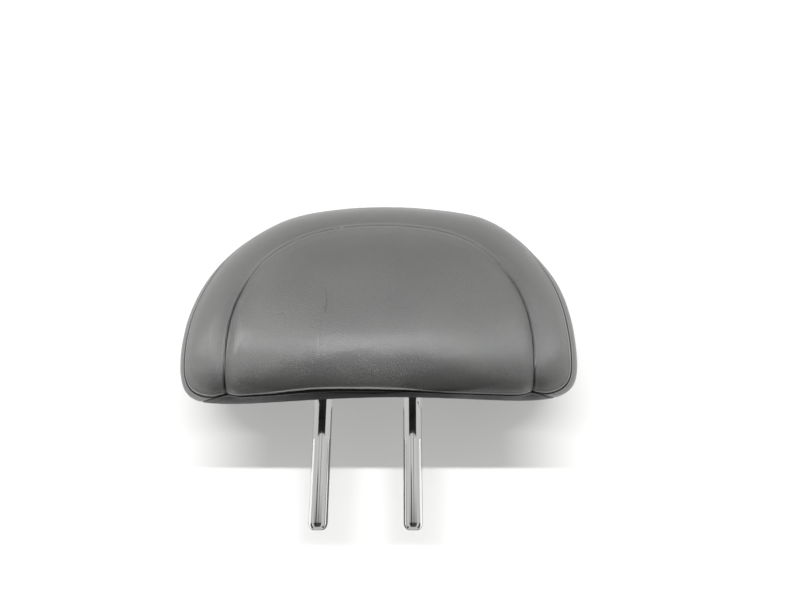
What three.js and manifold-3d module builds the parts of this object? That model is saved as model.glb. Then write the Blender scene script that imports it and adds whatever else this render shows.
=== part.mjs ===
// Car headrest: a half-moon leather pad on a short bent chrome post frame.
// Millimetres. +Z is up along the posts, -Y is the side that faces the head,
// and +X is to the right seen from there.
// The origin is midway between the two post ends, level with their end faces.

import * as THREE from 'three';
import { mergeVertices } from 'three/addons/utils/BufferGeometryUtils.js';
import Module from 'manifold-3d';

const wasm = await Module();
wasm.setup();

// Post frame: one round bar bent to an upside-down U
const POST_DIAMETER = 13;
const POST_SPACING = 64.5;
const FRAME_HEIGHT = 178;
const BEND_RADIUS = 20;
const TIP_FLAT_DIAMETER = 7.6;
const TIP_SHOULDER = 3.4;
const POST_SIDES = 16;
const FRAME_STEPS = 48;

// Pad outline, seen from the front, before its underside is arched and tilted
const PAD_OFFSET = 8.5;
const PAD_WIDTH = 280;
const PAD_TOP = 231;
const WIDEST_HEIGHT = 108;
const PAD_BOTTOM = 60;
const CROWN_POWER = 2.44;
const CORNER_POWER = 4.6;

// Pad depth, measured to both sides of its widest ring
const RING_Y = -25;
const FRONT_DEPTH = 60;
const REAR_DEPTH = 58;
const FRONT_POLE_HEIGHT = 98;
const REAR_POLE_HEIGHT = 160;
const FRONT_POWER = 2.3;
const FRONT_LOWER_POWER = 3;
const REAR_POWER = 2.6;
const REAR_LOWER_POWER = 3;

// How the pad is bent: the underside rises to the rear, its lower edge is arched,
// the sides are swept back, and the top leans back and a little to the right
const UNDERSIDE_RISE_DEG = 24;
const RISE_START_Y = -72;
const LOWER_ARCH = 12;
const SIDE_SWEEP = 14;
const TOP_LEAN = 10;
const TOP_SWAY = 5;

// Cover: leather panels sewn together round the foam
const LEATHER = 1.6;
const PANEL_GAP = 0.3;
const COVER_EASE = 0.8;
const FRONT_SEAM_DEG = -23;
const FRONT_SEAM_LOWER_DEG = -41;
const FRONT_SEAM_EASE = 0.8;
const REAR_SEAM_DEG = 38;
const REAR_SEAM_LOWER_DEG = 60;
const BORDER_SIDE_WIDTH = 40;
const BORDER_TOP_WIDTH = 34.5;
const CENTRE_PANEL_SHIFT = 2;
const CENTRE_PANEL_SHOULDER = 110;
const CENTRE_PANEL_POWER = 2.4;
const UNDERSIDE_MARGIN = 13;

// Where along the lower half of the outline the seams begin to turn to the underside and have turned fully
const TURN_BEGINS = 0.55;
const TURN_ENDS = 0.98;

// Carrier: two moulded halves that clamp the bend of the post frame inside the foam
const CARRIER_WIDTH = 124;
const CARRIER_BOTTOM = 134;
const CARRIER_TOP = 192;
const CARRIER_DEPTH = 20;
const CARRIER_CORNER = 9;
const FIT = 0.3;

// Screws that hold the carrier halves together
const SCREW_SHANK_DIAMETER = 4;
const SCREW_LENGTH = 15;
const SCREW_HEAD_DIAMETER = 8;
const SCREW_HEAD_HEIGHT = 2.4;
const SCREW_EDGE = 9;
const SCREW_SIDES = 12;

// Collars: plastic sleeves round the posts, with a flange on the underside
const COLLAR_WALL = 2;
const COLLAR_SLEEVE_LENGTH = 12;
const COLLAR_FLANGE_DIAMETER = 27;
const COLLAR_FLANGE_THICKNESS = 2;
const COLLAR_SEAT = 0.45;
const COLLAR_SIDES = 24;

// Closure: two hooked strips that hold the cover shut behind the posts
const CLOSURE_Y = 20;
const STRIP_LENGTH = 120;
const STRIP_WALL = 1.4;
const STRIP_HOOK = 4;
const STRIP_FIT = 0.3;
const STRIP_COVER = 4.5;
const STRIP_REACH = 12;

// How finely the pad is divided
const AROUND = 54;
const FRONT_ROWS = 8;
const BAND_ROWS = 5;
const REAR_ROWS = 5;
const CROWN_STEPS = 32;
const CORNER_STEPS = 10;
const SHOULDER_STEPS = 5;

// Corners closer together than this are one corner
const SAME_PLACE = 1e-4;

const POST_RADIUS = POST_DIAMETER / 2;
const HALF_SPACING = POST_SPACING / 2;
const SLEEVE_RADIUS = POST_RADIUS + FIT + COLLAR_WALL;
const RAD = Math.PI / 180;

// Half of the gap between two panels, as a change of latitude and as a part of a station
const SEAM_HALF_DEG = PANEL_GAP / 2 / FRONT_DEPTH / RAD;
const STATION_HALF_GAP = PANEL_GAP / 2 / (2 * PAD_WIDTH / AROUND);

const X_AXIS = new THREE.Vector3(1, 0, 0);
const Z_AXIS = new THREE.Vector3(0, 0, 1);
const SECTION_ALONG_X = new THREE.Matrix4().makeBasis(new THREE.Vector3(0, 1, 0), Z_AXIS, X_AXIS);

const leather = new THREE.MeshStandardMaterial({ color: 0x4a4b4a, roughness: 0.5, metalness: 0 });
const undersideLeather = new THREE.MeshStandardMaterial({ color: 0x262726, roughness: 0.6, metalness: 0 });
const chrome = new THREE.MeshStandardMaterial({ color: 0xc9ccce, roughness: 0.08, metalness: 1 });
const foam = new THREE.MeshStandardMaterial({ color: 0xd9cfa6, roughness: 0.95, metalness: 0 });
const blackPlastic = new THREE.MeshStandardMaterial({ color: 0x17181a, roughness: 0.55, metalness: 0 });
const zincSteel = new THREE.MeshStandardMaterial({ color: 0xa9a89c, roughness: 0.35, metalness: 1 });

// A closed three.js geometry as a solid that can be joined and cut
function solid(geometry) {
  const bare = geometry.clone();
  bare.deleteAttribute('normal');
  bare.deleteAttribute('uv');
  const merged = mergeVertices(bare, SAME_PLACE);
  const corners = merged.index.array;
  const kept = [];
  for (let i = 0; i < corners.length; i += 3) {
    const [a, b, c] = [corners[i], corners[i + 1], corners[i + 2]];
    if (a !== b && b !== c && c !== a) {
      kept.push(a, b, c);
    }
  }
  const vertProperties = new Float32Array(merged.attributes.position.array);
  return new wasm.Manifold(new wasm.Mesh({ numProp: 3, vertProperties, triVerts: new Uint32Array(kept) }));
}

// A solid as a three.js geometry
function geometryOf(body) {
  const mesh = body.getMesh();
  const geometry = new THREE.BufferGeometry();
  geometry.setAttribute('position', new THREE.BufferAttribute(new Float32Array(mesh.vertProperties), 3));
  geometry.setIndex(new THREE.BufferAttribute(new Uint32Array(mesh.triVerts), 1));
  geometry.computeVertexNormals();
  return geometry;
}

// A power that keeps its value's sign
function signedPower(value, power) {
  return Math.sign(value) * Math.abs(value) ** power;
}

// The pad's outline at its widest ring, from the top round to the right and back, drawn in by an inset
class PadOutline extends THREE.Curve {
  constructor(inset) {
    super();
    this.inset = inset;
  }

  getPoint(t, target = new THREE.Vector2()) {
    const angle = t * 2 * Math.PI;
    const up = Math.cos(angle) >= 0;
    const power = 2 / (up ? CROWN_POWER : CORNER_POWER);
    const height = (up ? PAD_TOP - WIDEST_HEIGHT : WIDEST_HEIGHT - PAD_BOTTOM) - this.inset;
    const x = (PAD_WIDTH / 2 - this.inset) * signedPower(Math.sin(angle), power);
    const z = WIDEST_HEIGHT + height * signedPower(Math.cos(angle), power);
    return target.set(x, z);
  }
}

const outlines = new Map();

// The outline's points, one for each station
function outlinePoints(inset) {
  if (!outlines.has(inset)) {
    const points = new PadOutline(inset).getSpacedPoints(AROUND);
    points[AROUND].copy(points[0]);
    outlines.set(inset, points);
  }
  return outlines.get(inset);
}

// Bends a point of the upright pad into its final form
function bent(x, y, z) {
  const fromTop = PAD_TOP - z;
  const run = Math.max(y - RISE_START_Y, 0);
  const rise = Math.tan(UNDERSIDE_RISE_DEG * RAD) * run / (PAD_TOP - PAD_BOTTOM);
  const across = (x / (PAD_WIDTH / 2)) ** 2;
  const raised = PAD_TOP - fromTop * (1 - rise);
  const arched = raised + LOWER_ARCH * (1 - across) * (PAD_TOP - raised) / (PAD_TOP - PAD_BOTTOM);
  const up = Math.max(arched - FRONT_POLE_HEIGHT, 0) / (PAD_TOP - FRONT_POLE_HEIGHT);
  const right = x + PAD_OFFSET + TOP_SWAY * up ** 2;
  const back = y + SIDE_SWEEP * across + TOP_LEAN * up ** 2;
  return new THREE.Vector3(right, back, arched);
}

// A point of the pad: which station round the outline it is at, its latitude from the front pole (-90)
// over the widest ring (0) to the rear pole (90), and how far it lies inside the cover's surface
function padPoint(station, latitude, inset) {
  const before = Math.floor(station);
  const share = station - before;
  const start = stationPoint(before, latitude(before), inset);
  if (share === 0) {
    return start;
  }
  return start.lerp(stationPoint(before + 1, latitude(before + 1), inset), share);
}

// A station counted on past the top, as one of the first round
function wrapped(station) {
  return THREE.MathUtils.euclideanModulo(station, AROUND);
}

// The same for a whole station, with the latitude as a number
function stationPoint(station, latitude, inset) {
  const ring = outlinePoints(inset)[wrapped(station)];
  const front = latitude < 0;
  const pole = front ? FRONT_POLE_HEIGHT : REAR_POLE_HEIGHT;
  const rimHeight = ring.y - pole;
  const down = Math.max(-rimHeight / Math.hypot(rimHeight, ring.x), 0);
  const upper = front ? FRONT_POWER : REAR_POWER;
  const lower = front ? FRONT_LOWER_POWER : REAR_LOWER_POWER;
  const power = 2 / (upper + (lower - upper) * down);
  const share = Math.max(Math.cos(latitude * RAD), 0) ** power;
  const depth = Math.abs(Math.sin(latitude * RAD)) ** power;
  const reach = front ? -(FRONT_DEPTH - inset) : REAR_DEPTH - inset;
  return bent(ring.x * share, RING_Y + reach * depth, pole + rimHeight * share);
}

const frontPole = () => -90;
const rearPole = () => 90;

// How far a station is turned to the underside: 0 at the sides and top, 1 along the lower edge
function undersideShare(station) {
  const ring = outlinePoints(0)[wrapped(station)];
  const down = (WIDEST_HEIGHT - ring.y) / (WIDEST_HEIGHT - PAD_BOTTOM);
  return THREE.MathUtils.smoothstep(down, TURN_BEGINS, TURN_ENDS);
}

// The latitude of the seam round the front, which comes furthest forward in the middle of the lower edge
function frontSeam(station) {
  const ring = outlinePoints(0)[wrapped(station)];
  const ease = 1 - FRONT_SEAM_EASE * (ring.x / (PAD_WIDTH / 2)) ** 2;
  return FRONT_SEAM_DEG + (FRONT_SEAM_LOWER_DEG - FRONT_SEAM_DEG) * ease * undersideShare(station);
}

// The latitude of the seam round the rear, which climbs the rear face above the underside
function rearSeam(station) {
  return REAR_SEAM_DEG + (REAR_SEAM_LOWER_DEG - REAR_SEAM_DEG) * undersideShare(station);
}

// A latitude part of the way from one seam to another
function between(from, to, share) {
  return (station) => from(station) + (to(station) - from(station)) * share;
}

// Even steps from 0 to 1
function shares(rows) {
  return Array.from({ length: rows + 1 }, (unused, row) => row / rows);
}

// A closed profile is turned about Y, and each of its points is then put on the pad.
// Each profile point holds a latitude, as a function of the station, and an inset.
function turnedOnPad(profile) {
  const flat = profile.map((point) => {
    const angle = point.latitude(0) * RAD;
    return new THREE.Vector2(Math.cos(angle) * (1 - point.inset / PAD_TOP), Math.sin(angle));
  });
  const geometry = new THREE.LatheGeometry(flat, AROUND);
  const position = geometry.attributes.position;
  for (let station = 0; station <= AROUND; station += 1) {
    profile.forEach((point, row) => {
      const place = padPoint(station, point.latitude, point.inset);
      position.setXYZ(station * profile.length + row, place.x, place.y, place.z);
    });
  }
  return solid(geometry);
}

// A cap of leather from a pole to a seam: its outer face, then its inner face on the way back
function cap(from, to, rows) {
  const latitudes = shares(rows).map((share) => between(from, to, share));
  const outward = latitudes.map((latitude) => ({ latitude, inset: 0 }));
  const inward = latitudes.toReversed().map((latitude) => ({ latitude, inset: LEATHER }));
  const loop = [...outward, ...inward];
  if (from(0) > -90) {
    loop.push(outward[0]);
  }
  return turnedOnPad(loop);
}

// A strip of leather that is wrapped round the pad from one station to another, between two seams
function wrappedStrip(fromStation, toStation, from, to, rows) {
  const columns = toStation - fromStation;
  const geometry = new THREE.BoxGeometry(1, 1, 1, columns, rows, 1);
  const position = geometry.attributes.position;
  for (let index = 0; index < position.count; index += 1) {
    const column = Math.round((position.getX(index) + 0.5) * columns);
    let station = fromStation + column;
    if (column === 0) {
      station += STATION_HALF_GAP;
    } else if (column === columns) {
      station -= STATION_HALF_GAP;
    }
    const inset = position.getZ(index) > 0 ? 0 : LEATHER;
    const place = padPoint(station, between(from, to, position.getY(index) + 0.5), inset);
    position.setXYZ(index, place.x, place.y, place.z);
  }
  return solid(geometry);
}

// The whole pad, drawn in by an inset
function ball(inset) {
  const parts = [
    { from: frontPole, to: frontSeam, rows: FRONT_ROWS },
    { from: frontSeam, to: rearSeam, rows: BAND_ROWS },
    { from: rearSeam, to: rearPole, rows: REAR_ROWS },
  ];
  const profile = [{ latitude: frontPole, inset }];
  for (const { from, to, rows } of parts) {
    for (const share of shares(rows).slice(1)) {
      profile.push({ latitude: between(from, to, share), inset });
    }
  }
  return turnedOnPad(profile);
}

// A shape seen from the front, as a solid from one depth to another
function prismAlongY(shape, fromY, toY) {
  const options = { depth: toY - fromY, bevelEnabled: false, curveSegments: CORNER_STEPS };
  const geometry = new THREE.ExtrudeGeometry(shape, options);
  geometry.rotateX(Math.PI / 2);
  geometry.translate(0, toY, 0);
  return solid(geometry);
}

// The centre panel's outline, seen from the front: upright sides under a rounded crown
function centrePanelShape(grow) {
  const middle = PAD_OFFSET + CENTRE_PANEL_SHIFT;
  const half = PAD_WIDTH / 2 - BORDER_SIDE_WIDTH + grow;
  const crown = PAD_TOP - BORDER_TOP_WIDTH - CENTRE_PANEL_SHOULDER + grow;
  const shape = new THREE.Shape();
  shape.moveTo(middle - half, PAD_BOTTOM - FRONT_DEPTH);
  shape.lineTo(middle + half, PAD_BOTTOM - FRONT_DEPTH);
  for (let step = 0; step <= CROWN_STEPS; step += 1) {
    const angle = Math.PI * step / CROWN_STEPS;
    const x = middle + half * signedPower(Math.cos(angle), 2 / CENTRE_PANEL_POWER);
    shape.lineTo(x, CENTRE_PANEL_SHOULDER + crown * Math.sin(angle) ** (2 / CENTRE_PANEL_POWER));
  }
  shape.closePath();
  return shape;
}

// An upright round solid on a post's axis
function roundUpright(x, radius, fromZ, toZ) {
  const geometry = new THREE.CylinderGeometry(radius, radius, toZ - fromZ, COLLAR_SIDES);
  geometry.rotateX(Math.PI / 2);
  geometry.translate(x, 0, (fromZ + toZ) / 2);
  return solid(geometry);
}

// The post frame's centre line
class FrameLine extends THREE.Curve {
  constructor(footZ) {
    super();
    this.path = new THREE.CurvePath();
    const top = FRAME_HEIGHT - POST_RADIUS;
    const shoulder = top - BEND_RADIUS;
    const inner = HALF_SPACING - BEND_RADIUS;
    const at = (x, z) => new THREE.Vector3(x, 0, z);
    this.path.add(new THREE.LineCurve3(at(-HALF_SPACING, footZ), at(-HALF_SPACING, shoulder)));
    this.path.add(new FrameBend(-inner, shoulder, Math.PI, Math.PI / 2));
    this.path.add(new THREE.LineCurve3(at(-inner, top), at(inner, top)));
    this.path.add(new FrameBend(inner, shoulder, Math.PI / 2, 0));
    this.path.add(new THREE.LineCurve3(at(HALF_SPACING, shoulder), at(HALF_SPACING, footZ)));
  }

  getPoint(t, target = new THREE.Vector3()) {
    return target.copy(this.path.getPoint(t));
  }
}

// A quarter bend of the frame's centre line
class FrameBend extends THREE.Curve {
  constructor(x, z, fromAngle, toAngle) {
    super();
    Object.assign(this, { x, z, fromAngle, toAngle });
  }

  getPoint(t, target = new THREE.Vector3()) {
    const angle = this.fromAngle + (this.toAngle - this.fromAngle) * t;
    return target.set(this.x + BEND_RADIUS * Math.cos(angle), 0, this.z + BEND_RADIUS * Math.sin(angle));
  }
}

// A round bar along the frame's centre line, down to a given height
function frameBar(radius, footZ) {
  const section = new THREE.Shape();
  for (let side = 0; side < POST_SIDES; side += 1) {
    const angle = 2 * Math.PI * side / POST_SIDES;
    const [x, y] = [radius * Math.cos(angle), radius * Math.sin(angle)];
    if (side === 0) {
      section.moveTo(x, y);
    } else {
      section.lineTo(x, y);
    }
  }
  section.closePath();
  const options = { steps: FRAME_STEPS, bevelEnabled: false, extrudePath: new FrameLine(footZ) };
  return solid(new THREE.ExtrudeGeometry(section, options));
}

// The ring of metal that is taken off a post's end to round its shoulder
function tipCutter(x) {
  const flat = TIP_FLAT_DIAMETER / 2;
  const outside = POST_DIAMETER;
  const profile = [
    new THREE.Vector2(flat, -TIP_SHOULDER),
    new THREE.Vector2(outside, -TIP_SHOULDER),
    new THREE.Vector2(outside, TIP_SHOULDER),
  ];
  for (let step = 0; step <= SHOULDER_STEPS; step += 1) {
    const angle = Math.PI / 2 * step / SHOULDER_STEPS;
    const radius = flat + (POST_RADIUS - flat) * Math.cos(angle);
    profile.push(new THREE.Vector2(radius, TIP_SHOULDER * (1 - Math.sin(angle))));
  }
  profile.push(profile[0].clone());
  const geometry = new THREE.LatheGeometry(profile, COLLAR_SIDES);
  geometry.rotateX(Math.PI / 2);
  geometry.translate(x, 0, 0);
  return solid(geometry);
}

function makePostFrame() {
  return frameBar(POST_RADIUS, 0).subtract(tipCutter(-HALF_SPACING)).subtract(tipCutter(HALF_SPACING));
}

// A rounded plate seen from the front, with its lower left corner, size and corner radius
function roundedPlate(left, bottom, right, top, radius) {
  const shape = new THREE.Shape();
  shape.moveTo(left + radius, bottom);
  shape.lineTo(right - radius, bottom);
  shape.absarc(right - radius, bottom + radius, radius, -Math.PI / 2, 0);
  shape.absarc(right - radius, top - radius, radius, 0, Math.PI / 2);
  shape.absarc(left + radius, top - radius, radius, Math.PI / 2, Math.PI);
  shape.absarc(left + radius, bottom + radius, radius, Math.PI, Math.PI * 1.5);
  return shape;
}

// The carrier's outer form, grown all round
function carrierBlock(grow, fromY, toY) {
  const half = CARRIER_WIDTH / 2 + grow;
  const plate = roundedPlate(-half, CARRIER_BOTTOM - grow, half, CARRIER_TOP + grow, CARRIER_CORNER + grow);
  return prismAlongY(plate, fromY, toY);
}

const screwPlaces = [];
for (const side of [-1, 1]) {
  for (const z of [CARRIER_BOTTOM + SCREW_EDGE, CARRIER_TOP - SCREW_EDGE]) {
    screwPlaces.push({ x: side * (CARRIER_WIDTH / 2 - SCREW_EDGE), z });
  }
}

// A screw along Y, head to the rear. A growth makes the hole that it sits in.
function screwForm(place, grow) {
  const headY = CARRIER_DEPTH / 2 + grow;
  const seatY = CARRIER_DEPTH / 2 - SCREW_HEAD_HEIGHT - grow;
  const tipY = CARRIER_DEPTH / 2 - SCREW_LENGTH - grow;
  const shank = SCREW_SHANK_DIAMETER / 2 + grow;
  const head = SCREW_HEAD_DIAMETER / 2 + grow;
  const pointLength = SCREW_SHANK_DIAMETER / 2;
  const profile = [
    new THREE.Vector2(0, tipY),
    new THREE.Vector2(shank, tipY + pointLength),
    new THREE.Vector2(shank, seatY),
    new THREE.Vector2(head, seatY),
    new THREE.Vector2(head, headY),
    new THREE.Vector2(0, headY),
  ];
  const geometry = new THREE.LatheGeometry(profile, SCREW_SIDES);
  geometry.translate(place.x, 0, place.z);
  return solid(geometry);
}

// One half of the carrier, hollowed for the post frame and the screws
function makeCarrier(fromY, toY) {
  const channel = frameBar(POST_RADIUS + FIT, CARRIER_BOTTOM - CARRIER_DEPTH);
  let half = carrierBlock(0, fromY, toY).subtract(channel);
  for (const place of screwPlaces) {
    half = half.subtract(screwForm(place, FIT));
  }
  return half;
}

// The point of the pad's surface straight above a place under the pad, and the surface's slope there
function undersideAt(x, y, surface) {
  const mesh = new THREE.Mesh(surface, new THREE.MeshBasicMaterial({ side: THREE.DoubleSide }));
  const ray = new THREE.Raycaster(new THREE.Vector3(x, y, -PAD_TOP), Z_AXIS);
  const [hit] = ray.intersectObject(mesh);
  return { point: hit.point, normal: hit.face.normal };
}

// A collar: its flange lies on the underside, and its sleeve runs up round the post
function makeCollar(x, surface) {
  const { point, normal } = undersideAt(x, 0, surface);
  const flange = new THREE.CylinderGeometry(
    COLLAR_FLANGE_DIAMETER / 2,
    COLLAR_FLANGE_DIAMETER / 2 - COLLAR_FLANGE_THICKNESS / 2,
    COLLAR_FLANGE_THICKNESS,
    COLLAR_SIDES,
  );
  flange.translate(0, -COLLAR_FLANGE_THICKNESS / 2 - COLLAR_SEAT, 0);
  const inward = normal.clone().negate();
  flange.applyQuaternion(new THREE.Quaternion().setFromUnitVectors(new THREE.Vector3(0, 1, 0), inward));
  flange.translate(point.x, point.y, point.z);
  const sleeveFoot = point.z - COLLAR_FLANGE_THICKNESS / 2 - COLLAR_SEAT;
  const sleeve = roundUpright(x, SLEEVE_RADIUS, sleeveFoot, point.z + COLLAR_SLEEVE_LENGTH);
  const bore = roundUpright(x, POST_RADIUS + FIT, -PAD_TOP, 2 * PAD_TOP);
  return solid(flange).add(sleeve).subtract(bore);
}

// The hole that a collar's sleeve goes through
function collarSeat(x, surface) {
  const { point } = undersideAt(x, 0, surface);
  return roundUpright(x, SLEEVE_RADIUS + FIT, 0, point.z + COLLAR_SLEEVE_LENGTH + FIT);
}

// The straight part of the underside behind the posts, as a place with its own axes:
// X along the pad, Y to the rear along the surface, Z into the foam
function closurePlace(surface) {
  const { point, normal } = undersideAt(PAD_OFFSET, CLOSURE_Y, surface);
  const inward = normal.clone().negate();
  const rear = new THREE.Vector3().crossVectors(inward, X_AXIS).normalize();
  const place = new THREE.Matrix4().makeBasis(X_AXIS, rear, new THREE.Vector3().crossVectors(X_AXIS, rear));
  return place.setPosition(point);
}

// One of the two hooked strips. The second is the first turned over, so that they hold each other.
function makeStrip(place, turned) {
  const legs = STRIP_WALL + STRIP_FIT;
  const [slot, shortLeg] = [2 * legs, 2 * legs + STRIP_WALL];
  const height = STRIP_HOOK + legs;
  const width = STRIP_WALL + 3 * legs;
  const corners = [
    [0, 0],
    [shortLeg, 0],
    [shortLeg, STRIP_HOOK],
    [slot, STRIP_HOOK],
    [slot, STRIP_WALL],
    [STRIP_WALL, STRIP_WALL],
    [STRIP_WALL, height],
    [0, height],
  ];
  const points = corners.map(([y, z]) => new THREE.Vector2(turned ? width - y : y, turned ? height - z : z));
  const options = { depth: STRIP_LENGTH, bevelEnabled: false };
  const geometry = new THREE.ExtrudeGeometry(new THREE.Shape(points), options);
  geometry.applyMatrix4(SECTION_ALONG_X);
  geometry.translate(-STRIP_LENGTH / 2, -width / 2, STRIP_COVER);
  geometry.applyMatrix4(place);
  return solid(geometry);
}

// The groove in the foam that the strips lie in, open to the underside
function stripGroove(place) {
  const height = STRIP_COVER + STRIP_HOOK + STRIP_WALL + 2 * STRIP_FIT + STRIP_REACH;
  const width = STRIP_WALL + 3 * (STRIP_WALL + STRIP_FIT) + 2 * STRIP_FIT;
  const groove = new THREE.BoxGeometry(STRIP_LENGTH + 2 * STRIP_FIT, width, height);
  groove.translate(0, 0, height / 2 - STRIP_REACH);
  groove.applyMatrix4(place);
  return solid(groove);
}

// All that lies behind the slit between the two flaps of the underside
function behindSlit(place, shift) {
  const size = 3 * PAD_WIDTH;
  const block = new THREE.BoxGeometry(size, size, size);
  block.translate(0, shift + size / 2, 0);
  block.applyMatrix4(place);
  return solid(block);
}

// A seam moved by some degrees of latitude
function shifted(latitude, degrees) {
  return (station) => latitude(station) + degrees;
}

const group = new THREE.Group();

// Adds a solid to the model as a named mesh
function addPart(name, body, material) {
  const mesh = new THREE.Mesh(geometryOf(body), material);
  mesh.name = name;
  group.add(mesh);
}

// Inside the foam
addPart('post_frame', makePostFrame(), chrome);
addPart('carrier_front', makeCarrier(-CARRIER_DEPTH / 2, -FIT / 2), blackPlastic);
addPart('carrier_rear', makeCarrier(FIT / 2, CARRIER_DEPTH / 2), blackPlastic);
screwPlaces.forEach((place, index) => {
  addPart(`carrier_screw_${index + 1}`, screwForm(place, 0), zincSteel);
});

// Under the pad
const padSurface = geometryOf(ball(0));
const closure = closurePlace(padSurface);
const posts = [
  { name: 'left', x: -HALF_SPACING },
  { name: 'right', x: HALF_SPACING },
];
for (const post of posts) {
  addPart(`post_collar_${post.name}`, makeCollar(post.x, padSurface), blackPlastic);
}
addPart('closure_strip_front', makeStrip(closure, false), blackPlastic);
addPart('closure_strip_rear', makeStrip(closure, true), blackPlastic);

// The foam, with its pockets and the ways in for the posts
let core = ball(LEATHER + COVER_EASE);
core = core.subtract(carrierBlock(FIT, -CARRIER_DEPTH / 2 - FIT, CARRIER_DEPTH / 2 + FIT));
core = core.subtract(stripGroove(closure));
for (const post of posts) {
  core = core.subtract(roundUpright(post.x, POST_RADIUS + FIT, 0, CARRIER_BOTTOM));
  core = core.subtract(collarSeat(post.x, padSurface));
}
addPart('foam_core', core, foam);

// The station where the side band ends and the underside begins, on the right
function cornerStation() {
  const ring = outlinePoints(0);
  let station = Math.round(AROUND / 2);
  while (ring[station - 1].x <= PAD_WIDTH / 2 - UNDERSIDE_MARGIN) {
    station -= 1;
  }
  return station;
}

// The cover
const frontCover = cap(frontPole, shifted(frontSeam, -SEAM_HALF_DEG), FRONT_ROWS);
const centreCut = prismAlongY(centrePanelShape(-PANEL_GAP / 2), -PAD_WIDTH, 0);
const borderCut = prismAlongY(centrePanelShape(PANEL_GAP / 2), -PAD_WIDTH, 0);
addPart('front_centre_panel', frontCover.intersect(centreCut), leather);
addPart('front_border_panel', frontCover.subtract(borderCut), leather);

const corner = cornerStation();
const bandFrom = shifted(frontSeam, SEAM_HALF_DEG);
const bandTo = shifted(rearSeam, -SEAM_HALF_DEG);
addPart('side_band', wrappedStrip(-corner, corner, bandFrom, bandTo, BAND_ROWS), leather);
addPart('back_panel', cap(shifted(rearSeam, SEAM_HALF_DEG), rearPole, REAR_ROWS), leather);

let underside = wrappedStrip(corner, AROUND - corner, bandFrom, bandTo, BAND_ROWS);
for (const post of posts) {
  underside = underside.subtract(collarSeat(post.x, padSurface));
}
addPart('underside_front_flap', underside.subtract(behindSlit(closure, -PANEL_GAP / 2)), undersideLeather);
addPart('underside_rear_flap', underside.intersect(behindSlit(closure, PANEL_GAP / 2)), undersideLeather);

export default group;
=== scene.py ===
"""Looks of a car headrest: a half-moon leather pad on a short bent chrome post frame."""

import logging
import math
from dataclasses import dataclass, field
from enum import Enum
from typing import Callable, Optional, Sequence

import bmesh
import bpy
import numpy as np
from mathutils import Matrix, Vector, kdtree


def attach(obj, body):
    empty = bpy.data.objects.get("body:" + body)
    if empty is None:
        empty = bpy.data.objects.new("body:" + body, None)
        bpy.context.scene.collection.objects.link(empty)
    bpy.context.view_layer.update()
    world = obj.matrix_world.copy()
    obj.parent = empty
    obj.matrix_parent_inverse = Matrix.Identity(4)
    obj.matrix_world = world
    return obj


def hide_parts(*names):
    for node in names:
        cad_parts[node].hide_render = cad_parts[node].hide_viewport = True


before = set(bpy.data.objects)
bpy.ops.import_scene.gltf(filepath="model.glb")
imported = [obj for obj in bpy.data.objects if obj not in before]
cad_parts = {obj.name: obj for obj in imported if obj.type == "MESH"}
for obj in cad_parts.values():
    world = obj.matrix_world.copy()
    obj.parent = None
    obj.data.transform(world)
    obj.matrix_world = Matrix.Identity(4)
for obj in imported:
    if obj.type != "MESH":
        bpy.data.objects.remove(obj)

LOG = logging.getLogger("headrest")
MM = 0.001
ROOT = "root"
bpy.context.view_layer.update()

# Where a Mix node keeps its two inputs and its result, by the kind of data.
MIX_SOCKETS = {"FLOAT": (2, 3, 0), "RGBA": (6, 7, 2)}

Surface = Callable[[np.ndarray, np.ndarray], np.ndarray]
Socket = bpy.types.NodeSocket
Colour = tuple[float, float, float, float]
Ring = list[bmesh.types.BMEdge]


class LeatherTone(Enum):
    """The two leathers of the cover."""

    GREY = "grey_leather"
    UNDERSIDE = "underside_leather"


def signed_power(value: np.ndarray, power: float) -> np.ndarray:
    """Raises a value to a power and keeps its sign."""
    return np.sign(value) * np.abs(value) ** power


def smooth_step(value: np.ndarray, low: float, high: float) -> np.ndarray:
    """Eases from 0 at low to 1 at high."""
    share = np.clip((value - low) / (high - low), 0, 1)
    return share * share * (3 - 2 * share)


def bell(value: np.ndarray, width: float) -> np.ndarray:
    """Falls from 1 at 0 to about a third at the width, and on to 0."""
    return np.exp(-((value / width) ** 2))


def along(line: np.ndarray) -> np.ndarray:
    """Gives the distance of each point of a line from its start, along the line."""
    return np.concatenate([[0], np.cumsum(np.linalg.norm(np.diff(line, axis=0), axis=1))])


def search_tree(points: np.ndarray) -> kdtree.KDTree:
    """Makes a tree that finds the nearest of the given points.

    Args:
        points: the points, one a row.

    Returns:
        The tree.
    """
    tree = kdtree.KDTree(len(points))
    for index, point in enumerate(points):
        tree.insert(point, index)
    tree.balance()
    return tree


def first_crossing(values: np.ndarray, places: np.ndarray, missing: object) -> np.ndarray:
    """Finds where each row of values first rises above 0.

    Args:
        values: the values, row by row.
        places: the place of each value.
        missing: what to give for a row that stays below.

    Returns:
        One place for each row.
    """
    row = np.argmax(values > 0, axis=1)
    here = np.arange(len(values))
    before, after = values[here, row - 1], values[here, row]
    start, end = places[here, row - 1], places[here, row]
    found = start + (end - start) * (before / (before - after))
    return np.where(values.max(axis=1) > 0, found, missing)


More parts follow.
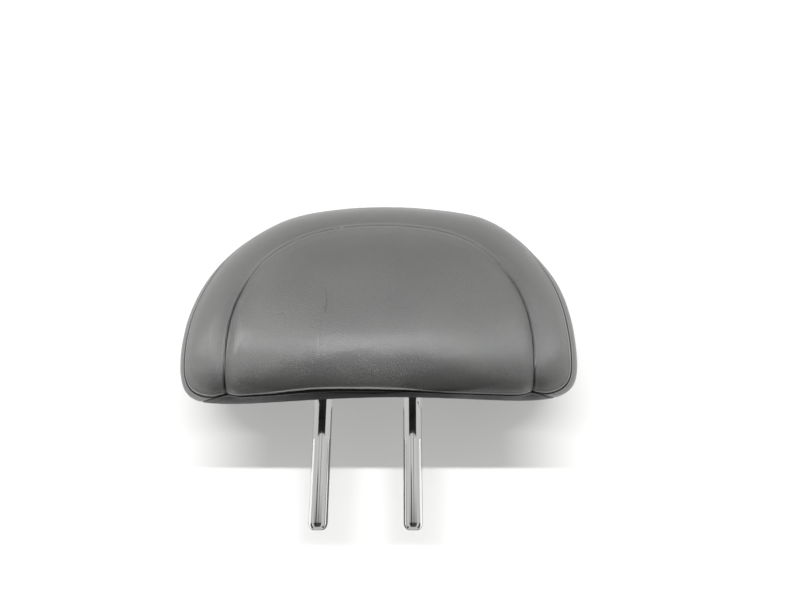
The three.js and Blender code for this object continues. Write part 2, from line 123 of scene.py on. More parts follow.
class Tree:
    """Adds nodes to one node tree and links them."""

    def __init__(self, tree: bpy.types.NodeTree) -> None:
        """Keeps the tree that the nodes are added to."""
        self.tree = tree

    def add(self, kind: str, **settings: object) -> bpy.types.Node:
        """Adds a node and sets its properties and the plain values of its inputs.

        Args:
            kind: the node's type, without the word ShaderNode.
            settings: properties by name, and inputs as in_ and the input's name.

        Returns:
            The node.
        """
        node = self.tree.nodes.new("ShaderNode" + kind)
        for name, value in settings.items():
            if name.startswith("in_"):
                self.feed(node.inputs[name[3:].replace("_", " ")], value)
            else:
                setattr(node, name, value)
        return node

    def feed(self, socket: Socket, value: object) -> None:
        """Links a socket to another one, or sets its plain value.

        Args:
            socket: the input.
            value: an output to link to it, or a value.
        """
        if isinstance(value, bpy.types.NodeSocket):
            self.tree.links.new(value, socket)
        else:
            socket.default_value = value

    def math(self, operation: str, *values: object, clamp: bool = False) -> Socket:
        """Adds a Math node and gives its result.

        Args:
            operation: the node's operation.
            values: sockets or numbers.
            clamp: whether it keeps to 0 and 1.

        Returns:
            The result.
        """
        node = self.add("Math", operation=operation, use_clamp=clamp)
        for socket, value in zip(node.inputs, values):
            self.feed(socket, value)
        return node.outputs[0]

    def vector(self, operation: str, *values: object) -> bpy.types.Node:
        """Adds a Vector Math node.

        Args:
            operation: the node's operation.
            values: sockets or vectors.

        Returns:
            The node.
        """
        node = self.add("VectorMath", operation=operation)
        for socket, value in zip(node.inputs, values):
            self.feed(socket, value)
        return node

    def ease(self, value: Socket, low: float, high: float, start: float = 0, end: float = 1) -> Socket:
        """Eases from start to end as a value goes from low to high.

        Args:
            value: the value.
            low: where it starts.
            high: where it ends.
            start: what it gives up to low.
            end: what it gives from high on.

        Returns:
            The eased value.
        """
        node = self.add("MapRange", interpolation_type="SMOOTHSTEP")
        for socket, given in zip(node.inputs, (value, low, high, start, end)):
            self.feed(socket, given)
        return node.outputs[0]

    def blend(self, share: object, first: object, second: object, kind: str = "RGBA") -> Socket:
        """Mixes two colours, or two numbers.

        Args:
            share: the second one's share.
            first: the first colour or number.
            second: the second one.
            kind: RGBA for colours, FLOAT for numbers.

        Returns:
            The mix.
        """
        one, other, result = MIX_SOCKETS[kind]
        node = self.add("Mix", data_type=kind)
        for index, value in ((0, share), (one, first), (other, second)):
            self.feed(node.inputs[index], value)
        return node.outputs[result]


def node_group(
    name: str, inputs: dict[str, tuple[str, object]], outputs: dict[str, str]
) -> tuple[Tree, bpy.types.Node, bpy.types.Node]:
    """Starts a shader node group with named sockets.

    Args:
        name: the group's name.
        inputs: each input's kind and plain value.
        outputs: each output's kind.

    Returns:
        The group's tree, its input node and its output node.
    """
    group = bpy.data.node_groups.new(name, "ShaderNodeTree")
    for socket, (kind, value) in inputs.items():
        made = group.interface.new_socket(socket, in_out="INPUT", socket_type="NodeSocket" + kind)
        if value is not None:
            made.default_value = value
    for socket, kind in outputs.items():
        group.interface.new_socket(socket, in_out="OUTPUT", socket_type="NodeSocket" + kind)
    return Tree(group), group.nodes.new("NodeGroupInput"), group.nodes.new("NodeGroupOutput")


@dataclass(frozen=True)
class PadForm:
    """The form of the pad: a half-moon outline swept to a front and a rear pole, then bent.

    Heights are along the posts, depths from the widest ring, both in metres.
    """

    offset: float = 8.5 * MM
    width: float = 280 * MM
    top: float = 231 * MM
    widest: float = 108 * MM
    bottom: float = 60 * MM
    crown_power: float = 2.44
    corner_power: float = 4.6
    ring_y: float = -25 * MM
    front_depth: float = 60 * MM
    rear_depth: float = 58 * MM
    front_pole: float = 98 * MM
    rear_pole: float = 160 * MM
    front_powers: tuple[float, float] = (2.3, 2.35)
    rear_powers: tuple[float, float] = (2.6, 3.0)
    underside_rise: float = math.radians(24)
    rise_start: float = -72 * MM
    lower_arch: float = 10.2 * MM
    side_sweep: float = 14 * MM
    top_lean: float = 10 * MM
    top_sway: float = 5 * MM
    side_roll: float = 26 * MM
    roll_from: float = 108 * MM
    roll_fade: tuple[float, float] = (15 * MM, -25 * MM)
    roll_lift: float = 0.2
    lower_slope: float = 0.014
    front_seam: tuple[tuple[float, float], ...] = (
        (0.0, -5.0), (0.118, -6.0), (0.145, -13.0), (0.17, -21.0), (0.2, -23.0), (0.290, -23.0),
        (0.315, -25.0), (0.340, -37.0), (0.360, -41.0), (0.393, -43.0),
        (0.429, -43.0), (0.468, -46.2), (0.494, -47.2), (0.548, -49.0), (0.577, -49.7), (0.606, -48.0),
        (0.630, -45.5), (0.654, -42.0), (0.675, -30.0), (0.690, -23.5), (0.710, -23.0),
        (0.81, -23.0), (0.845, -17.0), (0.875, -6.0), (1.0, -5.0),
    )
    front_seam_ease: float = 0.014
    uneven: tuple[tuple[float, float, float], ...] = (
        (0.100, 0.030, 2.6 * MM),
        (0.170, 0.030, -1.5 * MM),
        (0.285, 0.050, 0.9 * MM),
        (0.335, 0.028, 2.4 * MM),
        (0.668, 0.020, 3.2 * MM),
        (0.735, 0.055, 1.5 * MM),
        (0.905, 0.028, 1.5 * MM),
    )
    rear_seam: tuple[float, float] = (38.0, 60.0)
    turn: tuple[float, float] = (0.55, 0.98)
    outline_steps: int = 4000

    def outline(self, share: np.ndarray, inset: float = 0.0) -> tuple[np.ndarray, np.ndarray]:
        """Finds points of the widest ring by their share of its length, from the top round to the right.

        Args:
            share: shares of the ring's length.
            inset: how far inside the surface the ring lies.

        Returns:
            Their places across and up, seen from the front.
        """
        angle = np.linspace(0, 2 * math.pi, self.outline_steps + 1)
        upper = np.cos(angle) >= 0
        power = np.where(upper, 2 / self.crown_power, 2 / self.corner_power)
        height = np.where(upper, self.top - self.widest, self.widest - self.bottom) - inset
        across = (self.width / 2 - inset) * signed_power(np.sin(angle), power)
        up = self.widest + height * signed_power(np.cos(angle), power)
        length = np.concatenate([[0], np.cumsum(np.hypot(np.diff(across), np.diff(up)))])
        place = length / length[-1]
        for middle, width, bulge in self.uneven:
            out = 1 + bulge * bell(place - middle, width) / np.hypot(across, up - self.widest)
            across, up = across * out, self.widest + (up - self.widest) * out
        at = np.mod(share, 1)
        return np.interp(at, place, across), np.interp(at, place, up)

    def turned_down(self, share: np.ndarray) -> np.ndarray:
        """Tells how far the ring is turned down: 0 at the sides and top, 1 along the lower edge."""
        _, up = self.outline(share)
        return smooth_step((self.widest - up) / (self.widest - self.bottom), *self.turn)

    def front_seam_at(self, share: np.ndarray) -> np.ndarray:
        """Gives the latitude of the seam round the front, in degrees.

        Args:
            share: shares of the ring's length.

        Returns:
            The latitudes.
        """
        places, latitudes = zip(*self.front_seam)
        near = np.mod(share[..., None] + np.linspace(-1, 1, 9) * self.front_seam_ease, 1)
        return np.interp(near, places, latitudes).mean(-1)

    def rear_seam_at(self, share: np.ndarray) -> np.ndarray:
        """Gives the latitude of the seam round the rear, in degrees."""
        start, lower = self.rear_seam
        return start + (lower - start) * self.turned_down(share)

    @staticmethod
    def rounding(across: np.ndarray, rim: np.ndarray, upper: object, lower: object) -> np.ndarray:
        """Gives the power that rounds the form towards a pole.

        Args:
            across: the ring's places across.
            rim: its heights over the pole.
            upper: the power straight above the pole.
            lower: the power straight below it.

        Returns:
            The power at each place of the ring.
        """
        down = np.maximum(-rim / np.hypot(rim, across), 0)
        return 2 / (upper + (lower - upper) * down)

    def seen(self, share: np.ndarray, latitude: np.ndarray, rear: bool = False) -> np.ndarray:
        """Finds the front-view places of points of a face, before the pad is bent.

        Args:
            share: shares of the ring's length.
            latitude: latitudes in degrees.
            rear: whether the points lie on the rear face.

        Returns:
            Their places across and up, one pair a row.
        """
        pole = self.rear_pole if rear else self.front_pole
        across, up = self.outline(share)
        rim = up - pole
        powers = self.rear_powers if rear else self.front_powers
        width = np.cos(np.radians(latitude)) ** self.rounding(across, rim, *powers)
        return np.stack([across * width, pole + rim * width], -1)

    def bent(self, x: np.ndarray, y: np.ndarray, z: np.ndarray) -> np.ndarray:
        """Bends points of the upright pad into its final form.

        Args:
            x: places across, from the pad's own middle.
            y: places to the rear.
            z: heights.

        Returns:
            The bent points, one a row.
        """
        tall = self.top - self.bottom
        rise = math.tan(self.underside_rise) * np.maximum(y - self.rise_start, 0) / tall
        across = (x / (self.width / 2)) ** 2
        raised = self.top - (self.top - z) * (1 - rise)
        arched = raised + self.lower_arch * (1 - across) * (self.top - raised) / tall
        up = np.maximum(arched - self.front_pole, 0) / (self.top - self.front_pole)
        low = np.maximum(self.roll_from - z, 0) / (self.roll_from - self.bottom)
        rolled = self.side_roll * np.sqrt(across) * low**2 * smooth_step(y, *self.roll_fade)
        right = x + self.offset + self.top_sway * up**2
        back = y + self.side_sweep * across + self.top_lean * up**2 + rolled
        sloped = self.lower_slope * x * np.clip(low, 0, 1)
        return np.stack([right, back, arched + self.roll_lift * rolled + sloped], -1)

    def at(self, share: np.ndarray, latitude: np.ndarray, inset: float = 0.0) -> np.ndarray:
        """Finds points by their share of the ring and their latitude, from -90 at the front to 90.

        Args:
            share: shares of the ring's length.
            latitude: latitudes in degrees.
            inset: how far inside the surface the points lie.

        Returns:
            The points, one a row.
        """
        across, up = self.outline(share, inset)
        front = latitude < 0
        pole = np.where(front, self.front_pole, self.rear_pole)
        rim = up - pole
        upper, lower = (np.where(front, *pair) for pair in zip(self.front_powers, self.rear_powers))
        power = self.rounding(across, rim, upper, lower)
        angle = np.radians(latitude)
        width = np.maximum(np.cos(angle), 0) ** power
        depth = np.abs(np.sin(angle)) ** power
        reach = np.where(front, -(self.front_depth - inset), self.rear_depth - inset)
        return self.bent(across * width, self.ring_y + reach * depth, pole + rim * width)

    def face(self, across: np.ndarray, up: np.ndarray, rear: bool = False) -> np.ndarray:
        """Finds points of the front or rear face by their place in front view, before it is bent.

        Args:
            across: places across, from the pad's own middle.
            up: heights.
            rear: whether the points lie on the rear face.

        Returns:
            The points, one a row.
        """
        pole = self.rear_pole if rear else self.front_pole
        upper, lower = self.rear_powers if rear else self.front_powers
        ring_across, ring_up = self.outline(np.linspace(0, 1, self.outline_steps, endpoint=False))
        ring_angle = np.unwrap(np.arctan2(ring_across, ring_up - pole))
        ring_radius = np.hypot(ring_across, ring_up - pole)
        angle = np.mod(np.arctan2(across, up - pole), 2 * math.pi)
        rim = np.interp(angle, ring_angle, ring_radius, period=2 * math.pi)
        power = upper + (lower - upper) * np.maximum(-np.cos(angle), 0)
        share = np.clip(np.hypot(across, up - pole) / rim, 0, 1)
        depth = (1 - share**power) ** (1 / power)
        reach = self.rear_depth if rear else -self.front_depth
        return self.bent(across, self.ring_y + reach * depth, up)


@dataclass(frozen=True)
class CentreLine:
    """The seam between the centre panel and its border: upright sides under a rounded crown."""

    middle: float = 10.5 * MM
    half: float = 100 * MM
    top: float = 196.5 * MM
    shoulder: float = 110 * MM
    power: float = 2.4

    def outside(self, points: np.ndarray) -> np.ndarray:
        """Tells how far points are outside the seam: below 0 inside it, 0 on it.

        Args:
            points: the points, one a row.

        Returns:
            One value for each point.
        """
        across = np.abs(points[..., 0] - self.middle) / self.half
        up = np.maximum(points[..., 2] - self.shoulder, 0) / (self.top - self.shoulder)
        return across**self.power + up**self.power - 1


@dataclass(frozen=True)
class SeamForm:
    """How leather turns in at a seam, in metres."""

    roll: float = 1.25 * MM
    least_roll: float = 0.3
    turned_in: float = 0.9 * MM
    bead_height: float = 0.45 * MM
    bead_from: float = 1.7 * MM
    bead_width: float = 1.1 * MM
    pull_width: float = 7.0 * MM

    def offset(self, distance: np.ndarray, groove: np.ndarray, rim: np.ndarray) -> np.ndarray:
        """Gives the height of the leather over the plain form near a seam.

        Args:
            distance: the distance from the seam.
            groove: how sharply the leather turns in there, from 0 to 1.
            rim: how far its edge stands up, from 0 to 1.

        Returns:
            The heights.
        """
        inside = np.clip(self.roll - distance, 0, self.roll)
        depth = self.least_roll + (1 - self.least_roll) * groove
        rolled = -(self.roll - np.sqrt(self.roll**2 - inside**2)) * depth
        return rolled + self.bead_height * rim * bell(distance - self.bead_from, self.bead_width)


@dataclass
class Seam:
    """A seam's points, close together, and how the leather behaves along it."""

    points: np.ndarray
    groove: np.ndarray
    rim: np.ndarray
    pull: np.ndarray

    @staticmethod
    def plain(line: np.ndarray, groove: float, rim: float, pull: float) -> "Seam":
        """Makes a seam that is alike all along its line.

        Args:
            line: points of the line.
            groove: how sharply the leather turns in.
            rim: how far its edge stands up.
            pull: how far the padding is pulled in.

        Returns:
            The seam.
        """
        points = dense(line)
        full = np.ones(len(points))
        return Seam(points, full * groove, full * rim, full * pull)


class SeamMap:
    """Finds the nearest seam of a point."""

    def __init__(self, seams: Sequence[Seam]) -> None:
        """Keeps the points of the seams for searching.

        Args:
            seams: the seams.
        """
        points = np.concatenate([seam.points for seam in seams])
        styles = [np.stack([seam.groove, seam.rim, seam.pull], -1) for seam in seams]
        self.styles = np.concatenate(styles)
        self.tree = search_tree(points)
        self.deep = [SeamMap([seam]) for seam in seams if len(seams) > 1 and seam.pull.max() > 0]

    def pull(self, points: np.ndarray, width: float) -> np.ndarray:
        """Gives how far all the deep seams together pull the padding in at each point.

        Args:
            points: the points, one a row.
            width: how far a pull reaches.

        Returns:
            One depth for each point.
        """
        total = np.zeros(len(points))
        for seam in self.deep:
            distance, style = seam.nearest(points)
            total += style[:, 2] * bell(distance, width)
        return total

    def nearest(self, points: np.ndarray) -> tuple[np.ndarray, np.ndarray]:
        """Gives each point's distance to the nearest seam, and that seam's groove, rim and pull there."""
        found = [self.tree.find(point)[1:] for point in points]
        return np.array([hit[1] for hit in found]), self.styles[[hit[0] for hit in found]]


def dense(line: np.ndarray, step: float = 0.15 * MM) -> np.ndarray:
    """Adds points to a line until they are close together.

    Args:
        line: the line's points, one a row.
        step: the distance between the new points.

    Returns:
        Points along the same line.
    """
    length = along(line)
    at = np.linspace(0, length[-1], int(length[-1] / step) + 2)
    return np.stack([np.interp(at, length, line[:, axis]) for axis in range(3)], -1)


@dataclass
class RowPlan:
    """Where the rows of a panel lie between its two edges, close together near a seam.

    Columns shorter than room times the rows near their seams have those rows drawn together.
    """

    near: tuple[float, ...] = tuple(
        d * MM for d in (0.14, 0.25, 0.42, 0.65, 0.92, 1.25, 1.7, 2.2, 2.8, 3.5, 4.5, 6.0, 8.0, 10.5)
    )
    inner: int = 22
    room: float = 1.5

    def places(self, length: np.ndarray, seam_first: bool, seam_last: bool) -> np.ndarray:
        """Lays out the rows for columns of given lengths.

        Args:
            length: the columns' lengths.
            seam_first: whether there is a seam at their start.
            seam_last: whether there is one at their end.

        Returns:
            For each column, its rows' distances from its start.
        """
        near = np.array(self.near)
        needed = near[-1] * (seam_first + seam_last) * self.room
        scale = np.minimum(1, length / needed)[:, None]
        first = near * scale if seam_first else np.zeros((len(length), 1))
        last = length[:, None] - near[::-1] * scale if seam_last else length[:, None]
        share = np.linspace(0, 1, self.inner + 2)[1:-1]
        middle = first[:, -1:] + (last[:, :1] - first[:, -1:]) * share
        return np.concatenate([first, middle, last], axis=1)


@dataclass
class Swell:
    """How far the filled cushion stands proud of its plain form, found by a cloth simulation."""

    tree: Optional[kdtree.KDTree] = None
    moves: Optional[np.ndarray] = None
    neighbours: int = 28
    spread: float = 5 * MM

    def at(self, points: np.ndarray) -> np.ndarray:
        """Gives the moves of points, from those of the nearest points of the cushion.

        Args:
            points: the points, one a row.

        Returns:
            Their moves.
        """
        if self.tree is None:
            return np.zeros_like(points)
        result = np.empty_like(points)
        for row, point in enumerate(points):
            found = self.tree.find_n(point, self.neighbours)
            weight = bell(np.array([hit[2] for hit in found]), self.spread)
            result[row] = (self.moves[[hit[1] for hit in found]] * weight[:, None]).sum(0) / weight.sum()
        return result


def mesh_from(name: str, bm: bmesh.types.BMesh) -> bpy.types.Mesh:
    """Writes what was built into a new mesh and frees the builder's memory.

    Args:
        name: the mesh's name.
        bm: what was built.

    Returns:
        The mesh.
    """
    mesh = bpy.data.meshes.new(name)
    bm.to_mesh(mesh)
    bm.free()
    return mesh


def piece_from(name: str, mesh: bpy.types.Mesh) -> bpy.types.Object:
    """Makes an object of a mesh and links it to the scene.

    Args:
        name: the object's name.
        mesh: its mesh.

    Returns:
        The object.
    """
    piece = bpy.data.objects.new(name, mesh)
    bpy.context.scene.collection.objects.link(piece)
    return piece


def coordinates(mesh: bpy.types.Mesh) -> np.ndarray:
    """Reads the places of a mesh's vertices, one a row.

    Args:
        mesh: the mesh.

    Returns:
        Their places.
    """
    flat = np.empty(len(mesh.vertices) * 3, np.float32)
    mesh.vertices.foreach_get("co", flat)
    return flat.reshape(-1, 3).astype(float)


def place_vertices(mesh: bpy.types.Mesh, points: np.ndarray) -> None:
    """Moves a mesh's vertices to the given places."""
    mesh.vertices.foreach_set("co", points.astype(np.float32).ravel())
    mesh.update()


def cleaned(mesh: bpy.types.Mesh, merge: float = 0.004 * MM) -> None:
    """Merges doubled vertices, removes empty faces and turns the faces outwards.

    Args:
        mesh: the mesh.
        merge: the distance under which vertices are merged.
    """
    bm = bmesh.new()
    bm.from_mesh(mesh)
    bmesh.ops.remove_doubles(bm, verts=bm.verts, dist=merge)
    bmesh.ops.dissolve_degenerate(bm, edges=bm.edges, dist=merge)
    bmesh.ops.recalc_face_normals(bm, faces=bm.faces)
    for part in bm.faces:
        part.smooth = True
    bm.to_mesh(mesh)
    bm.free()


@dataclass
class Patch:
    """A panel's columns on a surface, each straight in the surface's own two coordinates."""

    surface: Surface
    starts: np.ndarray
    ends: np.ndarray
    seam_first: bool = True
    seam_last: bool = True
    samples: int = 120

    def laid_out(self, plan: RowPlan) -> tuple[np.ndarray, np.ndarray]:
        """Lays out the panel's points on the surface.

        Args:
            plan: where the rows lie.

        Returns:
            The points and their outward directions, by column and row.
        """
        share = np.linspace(0, 1, self.samples)
        path = self.starts[:, None] + (self.ends - self.starts)[:, None] * share[None, :, None]
        points = self.surface(path[..., 0], path[..., 1])
        steps = np.linalg.norm(np.diff(points, axis=1), axis=2)
        length = np.concatenate([np.zeros((len(steps), 1)), np.cumsum(steps, axis=1)], axis=1)
        rows = plan.places(length[:, -1], self.seam_first, self.seam_last)
        at = np.stack([np.interp(r, reach, share) for r, reach in zip(rows, length)])
        place = self.starts[:, None] + (self.ends - self.starts)[:, None] * at[..., None]
        return self.surface(place[..., 0], place[..., 1]), self.outward(place)

    def outward(self, place: np.ndarray) -> np.ndarray:
        """Finds the surface's outward directions at places in its own coordinates.

        Args:
            place: the places, in the last axis.

        Returns:
            The directions.
        """
        span = np.abs(np.concatenate([self.starts, self.ends])).max(axis=0) * 1e-4
        first, second = place[..., 0], place[..., 1]
        along = self.surface(first + span[0], second) - self.surface(first - span[0], second)
        over = self.surface(first, second + span[1]) - self.surface(first, second - span[1])
        normal = np.cross(along, over)
        normal /= np.maximum(np.linalg.norm(normal, axis=-1, keepdims=True), 1e-12)
        return normal


@dataclass
class LeatherCover:
    """The cover: leather panels that are turned in and sewn together round the foam."""

    form: PadForm
    centre: CentreLine
    seam: SeamForm
    thickness: float = 0.8 * MM
    columns: int = 460
    fan_height: float = 150 * MM
    low_edge: tuple[float, float] = (-105 * MM, -88 * MM)
    front_groove: tuple[float, float] = (0.8, 0.2)
    front_rim: tuple[float, float] = (0.75, 0.25)
    front_pull: float = 0.35 * MM
    crown_fade: tuple[float, float] = (150 * MM, 180 * MM)
    crown_tilt: float = 0.06
    crown_flush: float = 0.95
    crown_rim: float = 0.08
    crown_pull: float = 2.2 * MM
    behind_pole: tuple[float, float, float] = (0, 50 * MM, 40 * MM)
    swell: Swell = field(default_factory=Swell)

    def __post_init__(self) -> None:
        """Works out where the seams run."""
        pole = self.form.at(np.array([0.0]), np.array([-90.0]))[0]
        self.inside = pole + np.array(self.behind_pole)
        self.corner = self.corner_share()
        self.slit_point, self.slit_rear = self.slit_place()
        self.front_columns()
        self.seams = SeamMap(self.seam_lines())

    def corner_share(self, underside_half: float = 127 * MM) -> float:
        """Finds the share of the ring's length where the side band meets the underside, on the right.

        Args:
            underside_half: half the width of the underside.

        Returns:
            The share.
        """
        share = np.linspace(0.25, 0.5, 2000)
        across, _ = self.form.outline(share)
        return float(share[np.argmax(across < underside_half)])

    def slit_place(self, depth: float = 20 * MM) -> tuple[np.ndarray, np.ndarray]:
        """Finds a point of the slit between the two flaps, and the way to the rear along the underside.

        Args:
            depth: how far back the slit lies.

        Returns:
            The point and the direction.
        """
        latitude = np.linspace(-40, 60, 3000)
        line = self.form.at(np.full_like(latitude, 0.5), latitude)
        row = int(np.argmax(line[:, 1] > depth))
        rear = line[row + 5] - line[row - 5]
        rear[0] = 0
        return line[row], rear / np.linalg.norm(rear)

    def front_columns(self) -> None:
        """Lays out the columns of the front face: rays from a middle point to the front seam."""
        share = np.linspace(0, 1, 2400, endpoint=False)
        seam = self.form.seen(share, self.form.front_seam_at(share)) - np.array([0, self.fan_height])
        angle = np.unwrap(np.arctan2(seam[:, 0], seam[:, 1]))
        far = np.linalg.norm(seam, axis=1)
        length = along(seam)
        at = np.linspace(0, length[-1], self.columns, endpoint=False)
        self.ray_angle = np.interp(at, length, angle)
        self.place_corner_rays(angle, far)
        self.ray_reach = np.interp(self.ray_angle, angle, far)
        inner = self.centre_reach(self.ray_angle, self.ray_reach)
        self.bordered = np.isfinite(inner)
        self.ray_inner = np.where(self.bordered, inner, self.ray_reach)

    def place_corner_rays(self, angle: np.ndarray, far: np.ndarray, halvings: int = 30) -> None:
        """Moves a ray onto each corner where the centre panel's seam meets the front seam.

        Args:
            angle: the angles of the front seam's points.
            far: their distances from the rays' middle point.
            halvings: how often the gap between two rays is halved to find the corner.
        """
        meets = np.isfinite(self.centre_reach(self.ray_angle, np.interp(self.ray_angle, angle, far)))
        for index in np.flatnonzero(meets != np.roll(meets, 1)):
            before = index - 1
            first, last = self.ray_angle[before], self.ray_angle[index]
            low, high = first, last
            for _ in range(halvings):
                middle = (low + high) / 2
                limit = np.interp(middle, angle, far)
                hit = np.isfinite(self.centre_reach(np.array([middle]), np.array([limit]))[0])
                if hit == meets[before]:
                    low = middle
                else:
                    high = middle
            nearest = before if abs(low - first) < abs(high - last) else index
            self.ray_angle[nearest] = low if meets[before] else high

    def centre_reach(self, angle: np.ndarray, limit: np.ndarray) -> np.ndarray:
        """Finds where rays from the middle point cross the centre panel's seam.

        Args:
            angle: the rays' angles from straight up.
            limit: the rays' full lengths.

        Returns:
            The distances to the seam, not a number where a ray doesn't cross it.
        """
        share = np.linspace(0, 1, 400)
        reach = limit[:, None] * share
        points = self.front_surface(np.sin(angle)[:, None] * reach, np.cos(angle)[:, None] * reach)
        return first_crossing(self.centre.outside(points), reach, np.nan)

    def front_surface(self, across: np.ndarray, up: np.ndarray) -> np.ndarray:
        """Finds points of the front face by their place from the rays' middle point."""
        return self.form.face(across, up + self.fan_height)

    def rays(self, reach: np.ndarray) -> np.ndarray:
        """Gives the rays' ends at given distances."""
        return np.stack([np.sin(self.ray_angle) * reach, np.cos(self.ray_angle) * reach], -1)

    def seam_lines(self) -> list[Seam]:
        """Lists every seam of the cover.

        Returns:
            The seams.
        """
        form = self.form
        share = np.linspace(0, 1, 1200)
        seams = [
            self.front_seam(),
            Seam.plain(form.at(share, form.rear_seam_at(share)), groove=0.72, rim=0.6, pull=0.5 * MM),
            self.crown_seam(),
        ]
        for corner in (self.corner, 1 - self.corner):
            start, end = form.front_seam_at(np.array([corner])), form.rear_seam_at(np.array([corner]))
            latitude = np.linspace(start[0], end[0], 300)
            line = form.at(np.full_like(latitude, corner), latitude)
            seams.append(Seam.plain(line, groove=0.6, rim=0.3, pull=0.0))
        under = np.linspace(self.corner, 1 - self.corner, 400)
        seams.append(Seam.plain(form.at(under, self.slit_latitude(under)), groove=0.7, rim=0.3, pull=0.0))
        return seams

    def front_seam(self) -> Seam:
        """Makes the seam round the front: sharpest along the lower edge.

        Returns:
            The seam.
        """
        share = np.linspace(0, 1, 1200)
        points = dense(self.form.at(share, self.form.front_seam_at(share)))
        low = smooth_step(-points[:, 2], *self.low_edge)
        groove, rim = (least + more * low for least, more in (self.front_groove, self.front_rim))
        return Seam(points, groove, rim, np.full(len(points), self.front_pull))

    def crown_seam(self) -> Seam:
        """Makes the seam round the centre panel: deep down the sides, nearly flush over the top.

        Returns:
            The seam.
        """
        points = dense(self.front_surface(*self.rays(self.ray_inner)[self.rolled_border()].T))
        flush = smooth_step(points[:, 2] - self.crown_tilt * points[:, 0], *self.crown_fade)
        deep = 1 - self.crown_flush * flush
        return Seam(points, deep, self.crown_rim + self.crown_rim * flush, self.crown_pull * deep)

    def rolled_border(self) -> np.ndarray:
        """Lists the rays that cross the centre panel's seam, in order over the top.

        Returns:
            Their numbers.
        """
        rays = np.flatnonzero(self.bordered)
        jump = int(np.argmax(np.diff(rays))) + 1
        return np.roll(rays, -jump)

    def slit_latitude(self, share: np.ndarray) -> np.ndarray:
        """Finds the latitude of the slit between the two flaps of the underside.

        Args:
            share: shares of the ring's length.

        Returns:
            The latitudes in degrees.
        """
        start, end = self.form.front_seam_at(share), self.form.rear_seam_at(share)
        part = np.linspace(0, 1, 300)
        latitude = start[:, None] + (end - start)[:, None] * part
        points = self.form.at(np.repeat(share[:, None], len(part), axis=1), latitude)
        return first_crossing((points - self.slit_point) @ self.slit_rear, latitude, end)

    def panel(self, name: str, patch: Patch, node: str, closed: bool,
              inner: int = 22) -> bpy.types.Object:
        """Makes one panel of leather.

        Args:
            name: the piece's name.
            patch: its columns on the pad's surface.
            node: the CAD node that it replaces.
            closed: whether the columns run all the way round.
            inner: how many rows there are between the edges.

        Returns:
            The panel.
        """
        points, outward = patch.laid_out(RowPlan(inner=inner))
        outward *= np.sign(((points - self.inside) * outward).sum(-1).mean())
        columns, rows = points.shape[:2]
        distance, style = self.seams.nearest(points.reshape(-1, 3))
        offset = self.seam.offset(distance, style[:, 0], style[:, 1])
        offset -= self.seams.pull(points.reshape(-1, 3), self.seam.pull_width)
        placed = points + outward * offset.reshape(columns, rows, 1)
        placed += self.swell.at(points.reshape(-1, 3)).reshape(placed.shape)
        near = np.concatenate([distance[:, None], style[:, :2]], axis=1).reshape(columns, rows, 3)
        if patch.seam_first:
            turned = placed[:, :1] - outward[:, :1] * self.seam.turned_in
            placed = np.concatenate([turned, placed], axis=1)
            near = np.concatenate([near[:, :1], near], axis=1)
        if patch.seam_last:
            turned = placed[:, -1:] - outward[:, -1:] * self.seam.turned_in
            placed = np.concatenate([placed, turned], axis=1)
            near = np.concatenate([near, near[:, -1:]], axis=1)
        if closed:
            placed = np.concatenate([placed, placed[:1]])
            near = np.concatenate([near, near[:1]])
        mesh = self.sheet(name, placed, near)
        cleaned(mesh)
        piece = piece_from(name, mesh)
        wall = piece.modifiers.new("thickness", "SOLIDIFY")
        wall.thickness = self.thickness
        wall.offset = -1
        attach(piece, ROOT)
        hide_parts(node)
        return piece

    @staticmethod
    def sheet(name: str, placed: np.ndarray, near: np.ndarray) -> bpy.types.Mesh:
        """Makes a grid of faces and lays it on the given points.

        Args:
            name: the mesh's name.
            placed: the points, by column and row.
            near: their distances to the nearest seam, and its groove and rim there.

        Returns:
            The mesh, with those kept in its attributes seam_distance, seam_groove and seam_rim.
        """
        columns, rows = placed.shape[:2]
        bm = bmesh.new()
        bmesh.ops.create_grid(bm, x_segments=columns - 1, y_segments=rows - 1, size=0.5)
        mesh = mesh_from(name, bm)
        flat = coordinates(mesh)
        column = np.rint((flat[:, 0] + 0.5) * (columns - 1)).astype(int)
        row = np.rint((flat[:, 1] + 0.5) * (rows - 1)).astype(int)
        place_vertices(mesh, placed[column, row])
        for index, kind in enumerate(("seam_distance", "seam_groove", "seam_rim")):
            seam = mesh.attributes.new(kind, "FLOAT", "POINT")
            seam.data.foreach_set("value", near[column, row, index].astype(np.float32))
        return mesh

    def build(self) -> dict[str, bpy.types.Object]:
        """Makes every panel of the cover.

        Returns:
            The panels by name.
        """
        form = self.form
        share = np.linspace(0, 1, self.columns, endpoint=False)
        side = np.linspace(-self.corner, self.corner, self.columns)
        under = np.linspace(self.corner, 1 - self.corner, 200)
        over = self.rolled_border()
        edge, inner = self.rays(self.ray_reach), self.rays(self.ray_inner)

        def strip(at: np.ndarray, start: np.ndarray, end: np.ndarray) -> Patch:
            """Runs columns from one latitude to another."""
            return Patch(form.at, np.stack([at, start], -1), np.stack([at, end], -1))

